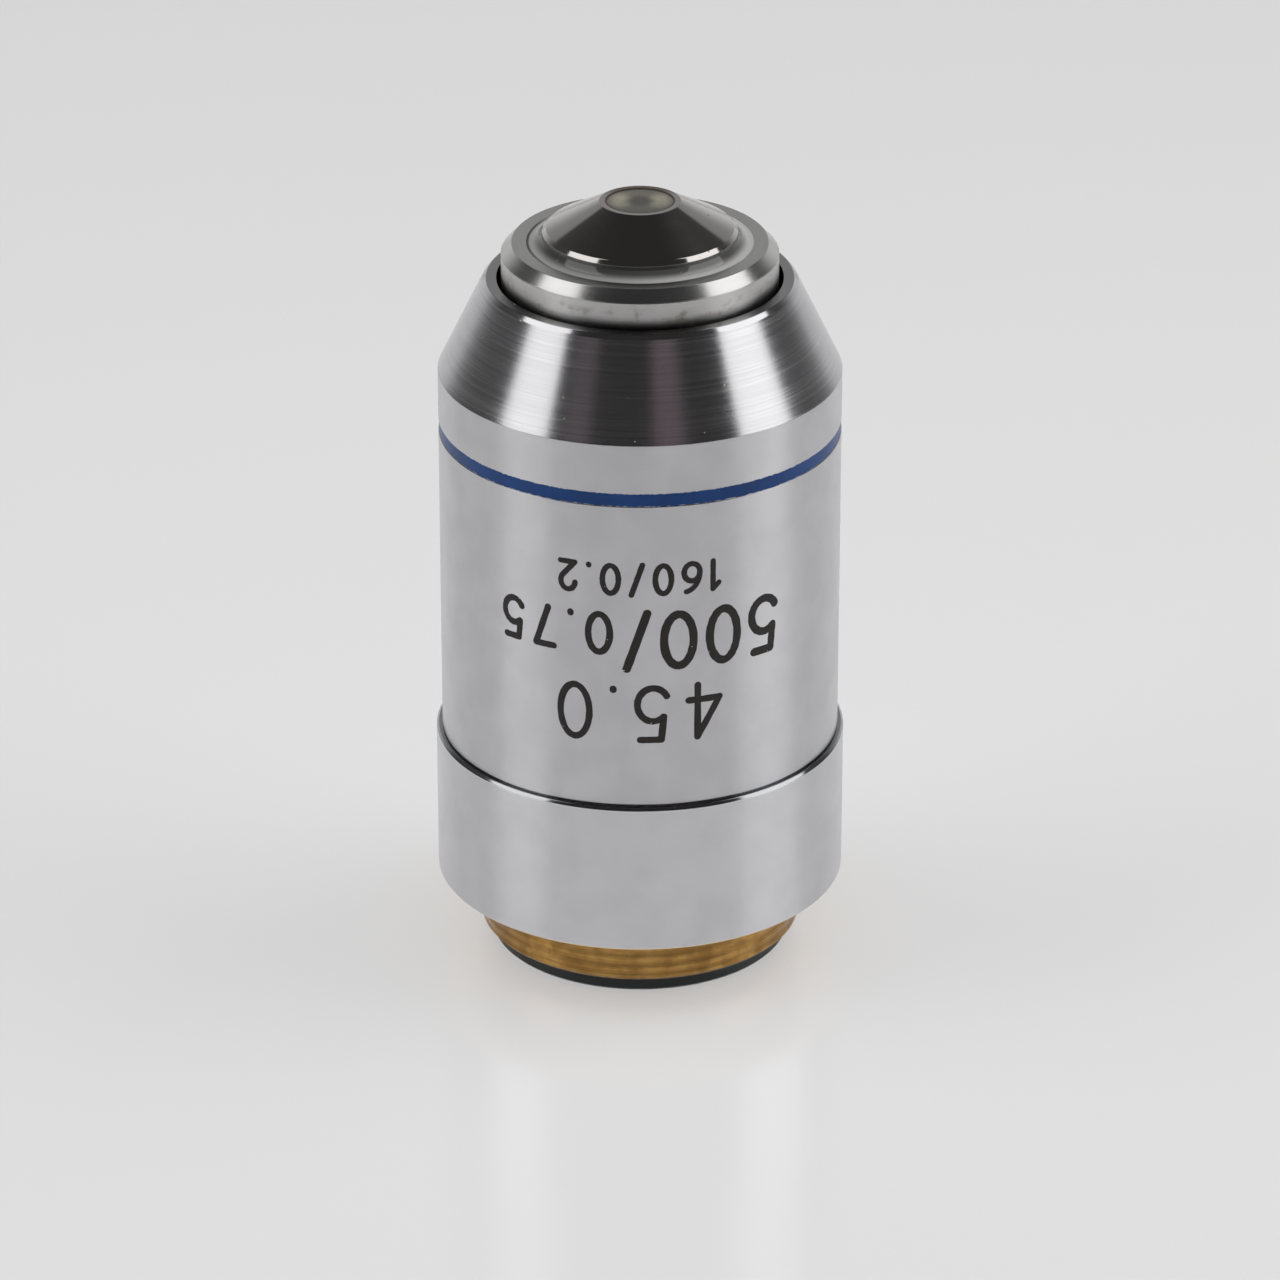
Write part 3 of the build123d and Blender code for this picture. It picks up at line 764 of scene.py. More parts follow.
def cap_plate(shader, look):
    """Plate on the cap: satin side with yellow-brown stains and painted shade at its foot by the
    gap, turned bevel and flat.
    """
    _, _, z, radius = shader.place()
    rim = head("outer_sleeve") / MM
    stained_to, clean_from = foot("front_cap") / MM + 2.0, foot("front_cap") / MM + 3.0
    painted_shade_top = rim + 0.7
    on_side = shader.above(radius, reach("front_cap") / MM - 3 * BLEND, 2 * BLEND)
    lines = turning_lines(shader, fineness=20.0, wander=0.8)
    stains = on_side * blotches(shader, scale=1.3, low=0.5, high=0.75, detail=5.0)
    stains = stains * shader.step(z, stained_to, clean_from, 1.0, 0.2)
    bright = tinted(look.cap_plate, 1.1)
    plate = shader.mix(shader.step(lines, 0.4, 0.7), look.cap_plate, bright)
    # Painted shade: the foot of the cap's side next to the gap is darkened towards black.
    plate = shader.mix(on_side * shader.step(z, rim, painted_shade_top, 0.75, 0.0), plate, look.black)
    specks = on_side * blotches(shader, scale=2.2, low=0.72, high=0.76)
    plate = shader.mix(specks * 0.6, plate, look.rust)
    return turned_metal(
        shader,
        stretch=0.6,
        Base_Color=shader.mix(stains * 0.65, plate, look.stain),
        Metallic=1.0,
        Roughness=0.24 + on_side * 0.12 + swing(lines, 0.1) + stains * 0.15,
        Normal=plate_normal(shader, 0.00015 * MM, 0.0004 * MM),
    )


def nose_plate(shader, look):
    """Polished nose, cement on its upright wall made paler at the left and right by painted light,
    tarnish round the lens, blackened inside.
    """
    sizes = bpy.context.scene.objective_sizes
    x, y, z, radius = shader.place()
    lines = turning_lines(shader, fineness=20.0)
    edge = sizes.edge / MM
    wall = sizes.nose_radius / MM
    mouth = (sizes.tip_radius - sizes.tip_rim) / MM
    inside = shader.below(radius, mouth - BLEND / 2)
    coated = shader.above(radius, wall - edge, edge / 2)
    on_face = shader.above(z, head("nose_cone") / MM - edge)
    at_lens = shader.below(radius, mouth + 0.07, 3 * BLEND)
    far_side = shader.step(y / radius, 0.3, 0.9)
    tarnish = on_face * (at_lens + (1 - at_lens) * far_side * 0.8)
    specks = blotches(shader, scale=2.6, low=0.78, high=0.80, detail=1.0)
    metal = shader.mix(specks * 0.7, look.nose_plate, look.black)
    metal = shader.mix(tarnish, metal, look.rust)
    # Painted light: the cement on the wall is paler towards the left and right sides.
    painted_wall_light = tinted(look.thin_cement, 2.4)
    film = shader.mix(shader.step((x / radius) ** 2, 0.05, 0.3), look.thin_cement, painted_wall_light)
    metal = shader.mix(coated, metal, film)
    return shader.principled(
        Base_Color=shader.mix(inside, metal, look.black),
        Metallic=(1.0 - inside * 0.8) * (1 - coated),
        Roughness=look.polish + swing(lines, 0.05) + (specks + coated) * 0.2 + inside * 0.3,
        Normal=shader.bump(lines, 0.0001 * MM),
    )


def cement(shader, look):
    """Glossy grey cement, darker next to the nose, with painted light darkening its left and
    lightening its right, a painted shadow along its left edge, and brown specks.
    """
    inner = bpy.context.scene.objective_sizes.nose_radius / MM
    outer = reach("cement_bead") / MM
    dark_to, pale_from = inner + 0.15, inner + 0.65
    x, _, _, radius = shader.place()
    sideways = x / radius
    # The cement is darker next to the nose and paler towards the cap.
    far_from_nose = shader.step(radius, dark_to, pale_from)
    tone = shader.mix(far_from_nose, look.thin_cement, look.cement)
    # Painted light and shade: the cement is darkened on the left and lightened on the right.
    painted_left_shade, painted_right_light = (0.8, 0.8, 0.8), (1.3, 1.3, 1.3)
    painted_side_light = shader.mix(shader.step(sideways, -0.4, 0.7), painted_left_shade, painted_right_light)
    tone = shader.mix(1.0, tone, painted_side_light, blend="MULTIPLY")
    # Painted shadow: a black line along the cement's outer edge on the left, where the cap's edge
    # shades it.
    gap = shader.step(sideways, -0.95, -0.75, 1.0, 0.0) * shader.above(radius, outer - 0.2, 0.1)
    specks = blotches(shader, scale=3.0, low=0.74, high=0.77, detail=1.0)
    tone = shader.mix(specks * 0.8, tone, look.rust)
    return shader.principled(
        Base_Color=shader.mix(gap, tone, look.black),
        Roughness=0.08 + specks * 0.3,
        IOR=GLASS_IOR,
    )


def optical_glass(shader, look):
    """Clear polished glass with a trace of dust."""
    dust = blotches(shader, scale=6.0, low=0.66, high=0.74)
    return shader.principled(
        Base_Color=shader.mix(dust, look.glass, look.glass_dust),
        Roughness=dust * 0.12,
        IOR=GLASS_IOR,
        Transmission_Weight=1.0,
    )


def front_glass(shader, look):
    """Front lens: a painted view through the glass, its pale seat on the left and right, the dark
    inside in the middle, painted shade towards the front.
    """
    x, y, _, radius = shader.place()
    sideways = (x / radius) ** 2
    # Painted view through the glass: a pale ring of the seat at the sides, the dark inside in the
    # middle, and painted shade towards the front.
    ring = shader.step(radius, 0.4, 1.2) * shader.step(radius, 1.5, 2.05, 1.0, 0.35)
    at_sides = lifted(shader.step(sideways, 0.1, 0.8), 0.30)
    cloud = lifted(blotches(shader, scale=1.2, low=0.3, high=0.7), 0.8)
    at_back = shader.step(y, -1.6, 0.5, 0.45, 1.0)
    return shader.principled(
        Base_Color=shader.mix(ring * at_sides * cloud * at_back, look.pupil, look.seat),
        Roughness=0.10,
        IOR=GLASS_IOR,
        Transmission_Weight=0.15,
    )


def figure_ink(shader, look):
    """Matt black paint in the engraved figures, chipped in a few small spots."""
    grain = blotches(shader, scale=8.0, low=0.35, high=0.7)
    chips = blotches(shader, scale=3.5, low=0.76, high=0.78, detail=2.0)
    paint = shader.mix(grain, look.ink, tinted(look.ink, 2.0))
    return shader.principled(
        Base_Color=shader.mix(chips, paint, look.plate),
        Roughness=0.5 + grain * 0.2,
        Normal=shader.bump(grain, 0.01 * MM),
    )


def table_top(shader, look):
    """Pale glossy laminate with a very faint grain."""
    vector = shader.node("TexCoord", output="Object")
    cloud = shader.step(shader.noise(vector, scale=6.0, detail=3.0), 0.3, 0.7)
    return shader.principled(
        Base_Color=shader.mix(cloud * 0.5, look.floor, tinted(look.floor, 0.98)),
        Roughness=0.12 + cloud * 0.04,
    )


def finish(make):
    """The material that this function makes, made once and then reused."""
    name = make.__name__ + "_finish"
    found = bpy.data.materials.get(name)
    if found:
        return found
    return make(Shader(bpy.data.materials.new(name)), bpy.context.scene.objective_finishes)


# The finish of each of the record's material slots
FINISHES = {make.__name__: make for make in (
    plated_body, satin_plate, band_enamel, black_metal, steel, spring_steel, bare_brass,
    black_brass, cement, optical_glass,
)}
FINISHES["polished_plate"] = cap_plate


# Figures

def bar(start, end, count=8):
    """A straight pen stroke between two points."""
    share_along = np.linspace(0, 1, count)[:, None]
    return np.array(start) * (1 - share_along) + np.array(end) * share_along


def bow(centre, radii, start, end, count=40):
    """A curved pen stroke: (x + a cos t, y + b sin t) for t between two angles in degrees."""
    t = np.radians(np.linspace(start, end, count))
    return np.stack([centre[0] + radii[0] * np.cos(t), centre[1] + radii[1] * np.sin(t)], axis=-1)


# Each figure's width and pen strokes, for a height of 1
FIGURES = {
    "0": (0.62, [bow((0.31, 0.5), (0.31, 0.5), 90, 450)]),
    "1": (0.30, [bar((0.26, 0), (0.26, 1)), bar((0.26, 1), (0.02, 0.8))]),
    "2": (0.60, [
        bow((0.3, 0.7), (0.29, 0.3), 175, -38),
        bar((0.53, 0.515), (0.02, 0)), bar((0.02, 0), (0.6, 0)),
    ]),
    "3": (0.58, [
        bow((0.27, 0.76), (0.26, 0.24), 150, -90), bow((0.27, 0.26), (0.31, 0.26), 90, -150),
    ]),
    "4": (0.66, [
        bar((0.47, 0), (0.47, 1)), bar((0.47, 1), (0, 0.28)), bar((0, 0.28), (0.66, 0.28)),
    ]),
    "5": (0.60, [
        bar((0.54, 1), (0.11, 1)), bar((0.11, 1), (0.06, 0.56)),
        bow((0.28, 0.32), (0.32, 0.32), 132, -150),
    ]),
    "6": (0.62, [
        bow((0.31, 0.31), (0.31, 0.31), 90, 450), bow((0.61, 0.31), (0.61, 0.69), 180, 98),
    ]),
    "7": (0.56, [bar((0, 1), (0.56, 1)), bar((0.56, 1), (0.17, 0))]),
    "8": (0.60, [bow((0.3, 0.76), (0.25, 0.24), 90, 450), bow((0.3, 0.26), (0.3, 0.26), 90, 450)]),
    "9": (0.62, [
        bow((0.31, 0.69), (0.31, 0.31), 90, 450), bow((0.01, 0.69), (0.61, 0.69), 0, -82),
    ]),
    ".": (0.08, [bar((0.04, 0.02), (0.04, 0.04))]),
    "/": (0.42, [bar((0, -0.04), (0.42, 1.04))]),
}


def pen_stroke(path, pen, radius, rise, columns=12):
    """A flat rounded thread of paint along a path that is laid on a cylinder.

    Across the path, point a of the thread is (w cos a) to the side and (h sin a) outwards. At
    both ends its width and height shrink as a quarter circle does, so that it closes. Along
    the way its width wanders by a twentieth.
    """
    along = np.gradient(path, axis=0)
    along = along / np.linalg.norm(along, axis=1, keepdims=True)
    turn = np.linspace(pi / 2, 0, END_STEPS + 2)[1:-1]
    before = path[:1] - along[:1] * pen / 2 * np.sin(turn)[:, None]
    after = path[-1:] + along[-1:] * pen / 2 * np.sin(turn[::-1])[:, None]
    line = np.vstack([before, path, after])
    first, last = (np.repeat(end, END_STEPS, 0) for end in (along[:1], along[-1:]))
    heading = np.vstack([first, along, last])
    swell = np.concatenate([np.cos(turn), np.ones(len(path)), np.cos(turn[::-1])])
    uneven, waves = 0.05, np.array((37, 23))
    wobble = 1 + uneven * np.sin(line @ waves / pen)
    a = np.arange(columns) * 2 * pi / columns
    side = np.stack([-heading[:, 1], heading[:, 0]], axis=-1)
    aside = pen / 2 * (swell * wobble)[:, None] * np.cos(a)
    flat = line[:, None] + side[:, None] * aside[..., None]
    out = radius + rise * swell[:, None] * np.sin(a)
    tips = np.array([path[0] - along[0] * pen / 2, path[-1] + along[-1] * pen / 2])
    points = wrap(flat[..., 0], flat[..., 1], out, radius)
    return grid_shell(points, wrap(tips[:, 0], tips[:, 1], radius, radius))


def wrap(across, up, out, radius):
    """Lays the point (across, up) on the front of a cylinder, upside down.

    Its angle from the front is -across / radius, and its height is -up.
    """
    turn = -across / radius
    return np.stack([out * np.sin(turn), -out * np.cos(turn), -up + 0 * out], axis=-1)


def figure_row(parts, width, place, radius, marks):
    """Shells of one row of figures. Parts are (text, figure height, pen width)."""
    narrow, rise = marks.narrow, marks.ink_rise
    sizes = [(FIGURES[c], height, pen) for text, height, pen in parts for c in text]
    filled = sum(figure[0] * height * narrow for figure, height, _ in sizes)
    gap = (width - filled) / (len(sizes) - 1)
    start = -width / 2
    shells = []
    for (figure_width, strokes), height, pen in sizes:
        for stroke in strokes:
            path = stroke * height * (narrow, 1) + np.array([start, -place])
            shells.append(pen_stroke(path, pen, radius, rise))
        start += figure_width * height * narrow + gap
    return shells


# Operators

class OBJECTIVE_OT_studio(Operator):
    """Make the table, the surroundings, the lamps and the camera"""

    bl_idname = "objective.studio"
    bl_label = "Studio"

    def execute(self, context):
        studio = context.scene.objective_studio
        self.make_table(studio)
        self.make_surroundings(studio)
        self.make_panel(studio, "left", -1)
        self.make_panel(studio, "right", 1)
        self.make_fill(studio)
        self.make_camera(studio)
        context.scene.view_settings.view_transform = "Standard"
        return {"FINISHED"}

    def make_table(self, studio):
        """A flat disc just below the rear ring: ring i is (r cos a, r sin a), r as i squared."""
        rings, columns = 24, 96
        height = -studio.floor_gap
        radius = studio.floor_radius * np.linspace(0, 1, rings + 1)[1:] ** 2
        around = np.arange(columns) * 2 * pi / columns
        points = np.stack([
            radius[:, None] * np.cos(around),
            radius[:, None] * np.sin(around),
            np.full((len(radius), len(around)), height),
        ], axis=-1)
        middle = (0, 0, height)
        quads, triangles = grid_shell(points, [middle, middle])[1:]
        vertices = np.vstack([points.reshape(-1, 3), [middle]])
        shell = (vertices, quads[:, ::-1], triangles[: len(around), ::-1])
        table = put_mesh("table", shell)
        table.data.materials.append(finish(table_top))

    def make_surroundings(self, studio):
        """Pale near the table, a dim backdrop with an upper edge, dark overhead and in front.

        All limits are parts of a direction's unit vector: x right, y back, z up.
        """
        world = bpy.data.worlds.new("surroundings")
        bpy.context.scene.world = world
        shader = Shader(world)
        x, y, z = shader.split(shader.node("TexCoord", output="Generated"))
        edge = sin(studio.back_top)
        at_back = shader.step(y, 0.5, 0.8)
        beside = shader.step(y, -0.3, 0.2) * shader.step(z, edge, 0.9, 1.0, 0.0)
        behind = at_back * shader.below(z, edge - 0.02, 0.05)
        near_table = shader.below(z, 0.03, 0.07) * (1 - at_back)
        backdrop = shader.step(z, 0.0, 0.42, studio.back_foot, studio.back)
        right_shelf = shader.window(x, 0.08, 0.18, 0.32, 0.46)
        left_shelf = shader.window(x, -0.68, -0.58, -0.48, -0.40)
        in_front = shader.below(y, -0.5, 0.2) * shader.below(z, 0.6, 0.15)
        strips = (right_shelf + 0.7 * left_shelf) * in_front
        light = studio.front + beside * (studio.sides - studio.front)
        light = light + behind * (backdrop - studio.sides)
        light = light + strips * (studio.shelf - studio.front)
        light = light + near_table * (studio.horizon - light)
        tint = shader.mix(strips, (1, 1, 1), studio.shelf_tint)
        background = shader.node("Background", None, {"Color": tint, "Strength": light})
        shader.node("OutputWorld", None, {"Surface": background})

    def make_lamp(self, name, turn, place, width, height, light):
        """A soft area lamp. Its power gives its surface the brightness asked for."""
        lamp = bpy.data.lights.new(name, "AREA")
        lamp.shape = "RECTANGLE"
        lamp.size = width
        lamp.size_y = height
        lamp.energy = light * pi * width * height
        holder = bpy.data.objects.new(name, lamp)
        bpy.context.scene.collection.objects.link(holder)
        holder.location = place
        holder.rotation_euler = turn.to_euler()
        return holder

    def make_panel(self, studio, name, side):
        """A long soft panel beside the object, on side -1 or 1, leaning back towards its top.

        Out, along and back are the directions from the object to the panel, up it and
        backwards round the object: (sin a cos e, -cos a cos e, sin e) and its two slopes,
        for a panel that is seen an angle a round from the front and an angle e up.
        """
        values = ("around", "up", "lean", "width", "light")
        a, e, lean, width, light = (getattr(studio, f"{name}_{value}") for value in values)
        out = Vector((side * sin(a) * cos(e), -cos(a) * cos(e), sin(e)))
        up = Vector((-side * sin(a) * sin(e), cos(a) * sin(e), cos(e)))
        back = Vector((side * cos(a), sin(a), 0))
        along = up * cos(lean) + back * sin(lean)
        turn = Matrix((along.cross(out), along, out)).transposed()
        place = out * studio.panel_distance
        self.make_lamp(name + "_panel", turn, place, width, studio.panel_length, light)

    def make_fill(self, studio):
        """A wide soft lamp overhead. It lights the table, casts no shadow and isn't mirrored."""
        place = (0, 0, studio.fill_height)
        size = studio.fill_size
        fill = self.make_lamp("fill", Matrix.Identity(3), place, size, size, studio.fill_light)
        fill.visible_glossy = False
        fill.data.use_shadow = False

    def make_camera(self, studio):
        """The camera in front of the object, looking down at a point on its axis."""
        camera = bpy.data.cameras.new("camera")
        camera.lens = studio.lens
        camera.sensor_width = SENSOR_WIDTH
        camera.clip_start = studio.nearest
        holder = bpy.data.objects.new("camera", camera)
        bpy.context.scene.collection.objects.link(holder)
        aim = Vector((0, 0, studio.aim))
        back = Vector((0, -cos(studio.elevation), sin(studio.elevation)))
        holder.location = aim + back * studio.distance
        holder.rotation_euler = (-back).to_track_quat("-Z", "Y").to_euler()
        bpy.context.scene.camera = holder


class OBJECTIVE_OT_mount_body(Operator):
    """Make the mount body: thread, shoulder, collar, spigot and guide tube"""

    bl_idname = "objective.mount_body"
    bl_label = "Mount body"

    def execute(self, context):
        sizes = context.scene.objective_sizes
        rear_bore = reach("parfocal_shim") + sizes.fit
        guide_bore = rear_bore - sizes.guide_step
        guide_radius = guide_bore + sizes.guide_wall
        low = foot("mount_body")
        shoulder = low + sizes.thread_length
        sleeve_foot = foot("outer_sleeve")
        groove_foot = sleeve_foot - sizes.collar_groove
        groove_floor = reach("outer_sleeve") - sizes.groove_depth
        spigot = reach("outer_sleeve") - sizes.sleeve_wall + sizes.spigot_depth - sizes.fit
        spigot_top = sleeve_foot + sizes.spigot_length
        collar = reach("mount_body")
        thread = sizes.thread_radius
        root = thread - sizes.relief_depth
        stop = head("parfocal_shim")
        top = head("mount_body")
        thread_low = low + sizes.thread_lead
        thread_high = shoulder - sizes.relief_width
        outline = rounded([
            (rear_bore, low),
            (thread - sizes.thread_lead, low),
            (thread, thread_low),
            (thread, thread_high),
            (root, thread_high),
            (root, shoulder),
            (collar - sizes.collar_chamfer, shoulder),
            (collar, shoulder + sizes.collar_chamfer),
            (collar, groove_foot - sizes.collar_bevel),
            (collar - sizes.collar_bevel, groove_foot),
            (groove_floor, groove_foot),
            (groove_floor, sleeve_foot),
            (spigot, sleeve_foot),
            (spigot, spigot_top),
            (guide_radius, spigot_top),
            (guide_radius, top),
            (guide_bore, top),
            (guide_bore, stop),
            (rear_bore, stop),
        ], sizes.edge)
        rings = 72
        heights = np.linspace(thread_low + 2 * sizes.edge, thread_high - 2 * sizes.edge, rings)
        run = np.stack([np.full(len(heights), thread), heights], axis=-1)
        outline = np.insert(outline, 3 * CORNER_POINTS, run, axis=0)

        def thread_cut(radius, height, around):
            """Depth 1 - |2 f - 1| at share f of a turn's height, cut flat at crest and root.

            It fades out over half a turn at both ends of the thread.
            """
            flat = 0.1
            turn = height / sizes.thread_pitch - around / (2 * pi)
            groove = np.clip((1 + 2 * flat) * (1 - abs(2 * (turn % 1) - 1)) - flat, 0, 1)
            ends = np.minimum(height - thread_low, thread_high - height) / (sizes.thread_pitch / 2)
            on_thread = np.abs(radius - thread) < sizes.fit / 10
            return radius - sizes.thread_depth * groove * np.clip(ends, 0, 1) * on_thread, height

        body = turned("body", outline, shape=thread_cut)
        centre = sum(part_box("guide_screw"), Vector()) / 2
        start, end = (0, 0, centre.z), (guide_radius + sizes.screw_radius, 0, centre.z)
        spot_start = (guide_radius - sizes.screw_spot, 0, centre.z)
        carve(
            body,
            bar_along_x("hole", sizes.screw_radius + sizes.fit, start, end),
            bar_along_x("spot", sizes.screw_head + sizes.spot_gap, spot_start, end),
        )
        fit(body, "housing", "plated_body", finish(plated_body), "mount_body")
        return {"FINISHED"}


class OBJECTIVE_OT_outer_sleeve(Operator):
    """Make the outer sleeve: cylinder, cone and rim, with the groove for the band"""

    bl_idname = "objective.outer_sleeve"
    bl_label = "Outer sleeve"

    def execute(self, context):
        sizes = context.scene.objective_sizes
        radius = reach("outer_sleeve")
        bore = radius - sizes.sleeve_wall
        threaded = bore + sizes.spigot_depth
        low = foot("outer_sleeve")
        rim = head("outer_sleeve")
        cone_top = rim - sizes.rim_chamfer
        cone_foot = cone_top - sizes.cone_height
        rim_bore = reach("front_cap") + sizes.rim_gap
        lean = (radius - sizes.cone_top) / sizes.cone_height
        lip_foot = cone_foot + (bore - rim_bore) / lean
        spigot_top = low + sizes.spigot_length
        groove = radius - sizes.band_depth
        band_low, band_high = foot("colour_band"), head("colour_band")
        outline = rounded([
            (threaded, low),
            (radius, low),
            (radius, band_low),
            (groove, band_low),
            (groove, band_high),
            (radius, band_high),
            (radius, cone_foot),
            (sizes.cone_top, cone_top),
            (sizes.cone_top - sizes.rim_chamfer, rim),
            (rim_bore, rim),
            (rim_bore, lip_foot),
            (bore, cone_foot),
            (bore, spigot_top),
            (threaded, spigot_top),
        ], sizes.edge)
        sleeve = turned("sleeve", outline)
        fit(sleeve, "housing", "satin_plate", finish(satin_plate), "outer_sleeve")
        return {"FINISHED"}


class OBJECTIVE_OT_colour_band(Operator):
    """Make the enamel band in the sleeve's groove"""

    bl_idname = "objective.colour_band"
    bl_label = "Colour band"

    def execute(self, context):
        sizes = context.scene.objective_sizes
        groove = reach("outer_sleeve") - sizes.band_depth
        low, high, face = foot("colour_band"), head("colour_band"), reach("colour_band")
        outline = rounded([(groove, low), (face, low), (face, high), (groove, high)], sizes.edge)
        band = turned("band", outline)
        fit(band, "housing", "band_enamel", finish(band_enamel), "colour_band")
        return {"FINISHED"}


class OBJECTIVE_OT_figures(Operator):
    """Make the painted figures on the sleeve"""

    bl_idname = "objective.figures"
    bl_label = "Figures"

    def execute(self, context):
        marks = context.scene.objective_marks
        radius = reach("outer_sleeve")
        small = [(marks.small_row, marks.small_height, marks.small_pen)]
        large = [
            (marks.large_row, marks.large_height, marks.large_pen),
            (marks.large_end, marks.end_height, marks.end_pen),
        ]
        third = [(marks.third_row, marks.third_height, marks.third_pen)]
        shells = [
            *figure_row(small, marks.small_width, marks.small_place, radius, marks),
            *figure_row(large, marks.large_width, marks.large_place, radius, marks),
            *figure_row(third, marks.third_width, marks.third_place, radius, marks),
        ]
        figures = put_mesh("figures", *shells)
        fit(figures, "housing", "black_metal", finish(figure_ink))
        return {"FINISHED"}


class OBJECTIVE_OT_rear_ring(Operator):
    """Make the black rear ring with its spanner slots"""

    bl_idname = "objective.rear_ring"
    bl_label = "Rear ring"

    def execute(self, context):
        sizes = context.scene.objective_sizes
        radius = reach("rear_ring")
        low, top = foot("rear_ring"), head("rear_ring")
        lip = low + sizes.ring_proud
        spigot = reach("parfocal_shim")
        bore = sizes.ring_bore
        outline = rounded([
            (bore + sizes.ring_mouth, low),
            (radius - sizes.ring_chamfer, low),
            (radius, low + sizes.ring_chamfer),
            (radius, lip),
            (spigot, lip),
            (spigot, top),
            (bore, top),
            (bore, low + sizes.ring_mouth),
        ], sizes.edge)
        ring = turned("base_ring", outline)
        out, half, deep = bore + sizes.slot_reach, sizes.slot_width / 2, sizes.slot_depth
        carve(ring, beam("slots", (-out, -half, low - deep), (out, half, low + deep)))
        fit(ring, "housing", "black_metal", finish(black_metal), "rear_ring")
        return {"FINISHED"}


class OBJECTIVE_OT_front_cap(Operator):
    """Make the front cap: side, bevel and flat"""

    bl_idname = "objective.front_cap"
    bl_label = "Front cap"

    def execute(self, context):
        sizes = context.scene.objective_sizes
        radius = reach("front_cap")
        low, top = foot("front_cap"), head("front_cap")
        bore = reach("nose_cone") + sizes.fit
        seat = head("lens_barrel") + sizes.nose_flange
        hole = reach("cement_bead")
        outline = rounded([
            (bore, low),
            (radius, low),
            (radius, top - sizes.cap_bevel_height),
            (radius - sizes.cap_bevel_width, top),
            (hole, top),
            (hole, seat),
            (bore, seat),
        ], sizes.edge)
        cap = turned("cap", outline)
        fit(cap, "front_group", "polished_plate", finish(cap_plate), "front_cap")
        return {"FINISHED"}


class OBJECTIVE_OT_nose_cone(Operator):
    """Make the polished nose cone and the seat of the front lens inside it"""

    bl_idname = "objective.nose_cone"
    bl_label = "Nose cone"

    def execute(self, context):
        sizes = context.scene.objective_sizes
        low, tip = foot("nose_cone"), head("nose_cone")
        flange = reach("nose_cone")
        barrel_top = head("lens_barrel")
        seat = barrel_top + sizes.nose_flange
        wall_top = head("front_cap") + sizes.nose_wall
        hollow = sizes.boss_radius + sizes.fit
        hollow_top = head("meniscus_cell") + sizes.boss_gap
        ball = reach("front_lens") + sizes.fit
        centre = foot("front_lens") + reach("front_lens")
        mouth = sizes.tip_radius - sizes.tip_rim
        lip = 0.01 * MM
        outside = rounded([
            (mouth, tip - 2 * lip),
            (hollow, hollow_top),
            (hollow, low),
            (sizes.stack_radius, low),
            (sizes.stack_radius, barrel_top),
            (flange, barrel_top),
            (flange, seat),
            (sizes.nose_radius, seat),
            (sizes.nose_radius, wall_top),
            (sizes.nose_radius - sizes.nose_bevel_width, wall_top + sizes.nose_bevel_height),
            (sizes.tip_radius, tip),
            (mouth, tip),
            (mouth, tip - lip / 2),
        ], sizes.edge)
        sphere_top = np.arccos(mouth / ball)
        inside = arc((0, centre), ball, sphere_top, 0)
        shaft = np.array([(ball, hollow_top)])
        outline = np.vstack([outside[CORNER_POINTS:], inside, shaft])
        nose = turned("nose", outline)
        fit(nose, "front_group", "polished_plate", finish(nose_plate), "nose_cone")
        return {"FINISHED"}


class OBJECTIVE_OT_cement_bead(Operator):
    """Make the bead of cement between nose and cap"""

    bl_idname = "objective.cement_bead"
    bl_label = "Cement bead"

    def execute(self, context):
        sizes = context.scene.objective_sizes
        inner, outer = sizes.nose_radius, reach("cement_bead")
        low, top = foot("cement_bead"), head("front_cap")
        edge = np.array((outer, top))
        climb = np.array((inner, top + sizes.bead_climb))
        hollow = (edge + climb) / 2 - np.array((0, sizes.bead_dip))
        control = 2 * hollow - (edge + climb) / 2
        steps = 24
        u = np.linspace(0, 1, steps)[:, None]
        face = (1 - u) ** 2 * edge + 2 * u * (1 - u) * control + u**2 * climb
        outline = np.vstack([[(inner, low), (outer, low)], face])
        bead = turned("bead", outline)
        fit(bead, "front_group", "cement", finish(cement), "cement_bead")
        return {"FINISHED"}


class OBJECTIVE_OT_front_lens(Operator):
    """Make the front lens: most of a ball, with a flat face at the tip"""

    bl_idname = "objective.front_lens"
    bl_label = "Front lens"

    def execute(self, context):
        ball = reach("front_lens")
        low, face = foot("front_lens"), head("front_lens")
        centre = low + ball
        edge_angle = np.arcsin((face - centre) / ball)
        side = arc((0, centre), ball, -pi / 2, edge_angle, count=60)
        rings = side[-1][0] * np.array(FACE_RINGS)
        flat = np.stack([rings, np.full(len(rings), face)], axis=-1)
        lens = turned("lens", np.vstack([side, flat]), closed=False, columns=180)
        fit(lens, "front_group", "optical_glass", finish(front_glass), "front_lens")
        return {"FINISHED"}


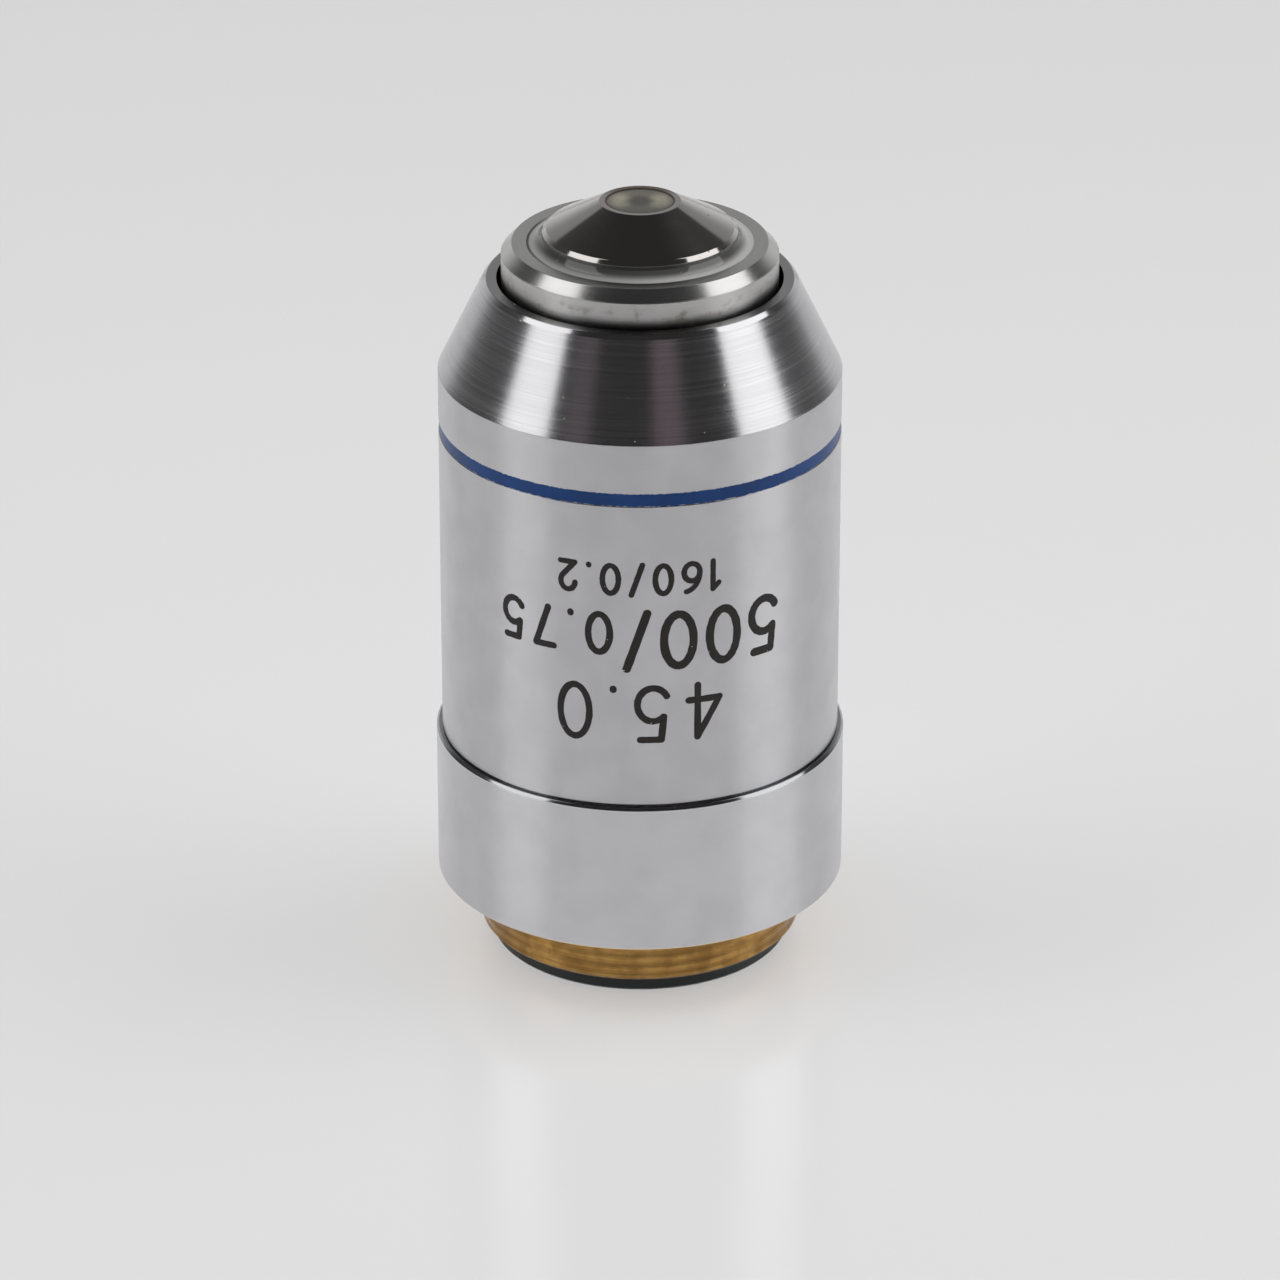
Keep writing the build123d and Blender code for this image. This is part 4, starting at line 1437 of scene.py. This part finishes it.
class OBJECTIVE_OT_spring(Operator):
    """Make the compression spring, which shortens as the front goes in"""

    bl_idname = "objective.spring"
    bl_label = "Compression spring"

    def execute(self, context):
        sizes = context.scene.objective_sizes
        low, high = foot("compression_spring"), head("compression_spring")
        wire = sizes.wire / 2
        radius = reach("compression_spring") - wire
        steps, columns = 480, 20
        t = np.linspace(0, 1, steps)[:, None]
        whole = 2 * pi * sizes.turns
        around = whole * t
        rise = (high - low) / (whole * radius)
        steep = sqrt(1 + rise**2)
        out = np.concatenate([np.cos(around), np.sin(around), 0 * t], axis=1)
        along = np.concatenate([-np.sin(around), np.cos(around), rise + 0 * t], axis=1) / steep
        middle = radius * out + np.concatenate([0 * t, 0 * t, low + (high - low) * t], axis=1)
        across = np.cross(along, out)
        a = (np.arange(columns) * 2 * pi / columns)[None, :, None]
        points = middle[:, None] + wire * (np.cos(a) * out[:, None] + np.sin(a) * across[:, None])
        points[..., 2] = np.clip(points[..., 2], low, high)
        spring = put_mesh("spring", grid_shell(points, [middle[0], middle[-1]]))
        fit(spring, "housing", "spring_steel", finish(spring_steel), "compression_spring")
        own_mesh(spring)
        return {"FINISHED"}


class OBJECTIVE_OT_inner_pieces(Operator):
    """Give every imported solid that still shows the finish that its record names"""

    bl_idname = "objective.inner_pieces"
    bl_label = "Inner pieces"

    def execute(self, context):
        for part in frame["record"]["subparts"]:
            solid = frame["nodes"][part["node"]]
            solid.data.materials.clear()
            solid.data.materials.append(finish(FINISHES[part["material_slot"]]))
        return {"FINISHED"}


class OBJECTIVE_PT_pieces(Panel):
    """Lists what this file makes"""

    bl_label = "Microscope objective"
    bl_idname = "OBJECTIVE_PT_pieces"
    bl_space_type = "VIEW_3D"
    bl_region_type = "UI"
    bl_category = "Objective"

    def draw(self, context):
        column = self.layout.column(align=True)
        for operator in OPERATORS:
            column.operator(operator.bl_idname)


GROUPS = {
    "objective_sizes": OBJECTIVE_PG_sizes,
    "objective_marks": OBJECTIVE_PG_marks,
    "objective_finishes": OBJECTIVE_PG_finishes,
    "objective_studio": OBJECTIVE_PG_studio,
}
OPERATORS = (
    OBJECTIVE_OT_studio,
    OBJECTIVE_OT_inner_pieces,
    OBJECTIVE_OT_mount_body,
    OBJECTIVE_OT_outer_sleeve,
    OBJECTIVE_OT_colour_band,
    OBJECTIVE_OT_figures,
    OBJECTIVE_OT_rear_ring,
    OBJECTIVE_OT_front_cap,
    OBJECTIVE_OT_nose_cone,
    OBJECTIVE_OT_cement_bead,
    OBJECTIVE_OT_front_lens,
    OBJECTIVE_OT_spring,
)


def register():
    for kind in (*GROUPS.values(), *OPERATORS, OBJECTIVE_PT_pieces):
        bpy.utils.register_class(kind)
    for name, group in GROUPS.items():
        setattr(bpy.types.Scene, name, PointerProperty(type=group))


def unregister():
    for name in GROUPS:
        delattr(bpy.types.Scene, name)
    for kind in reversed((*GROUPS.values(), *OPERATORS, OBJECTIVE_PT_pieces)):
        bpy.utils.unregister_class(kind)


def main():
    register()
    for operator in OPERATORS:
        group, name = operator.bl_idname.split(".")
        getattr(getattr(bpy.ops, group), name)()


if __name__ == "__main__":
    main()
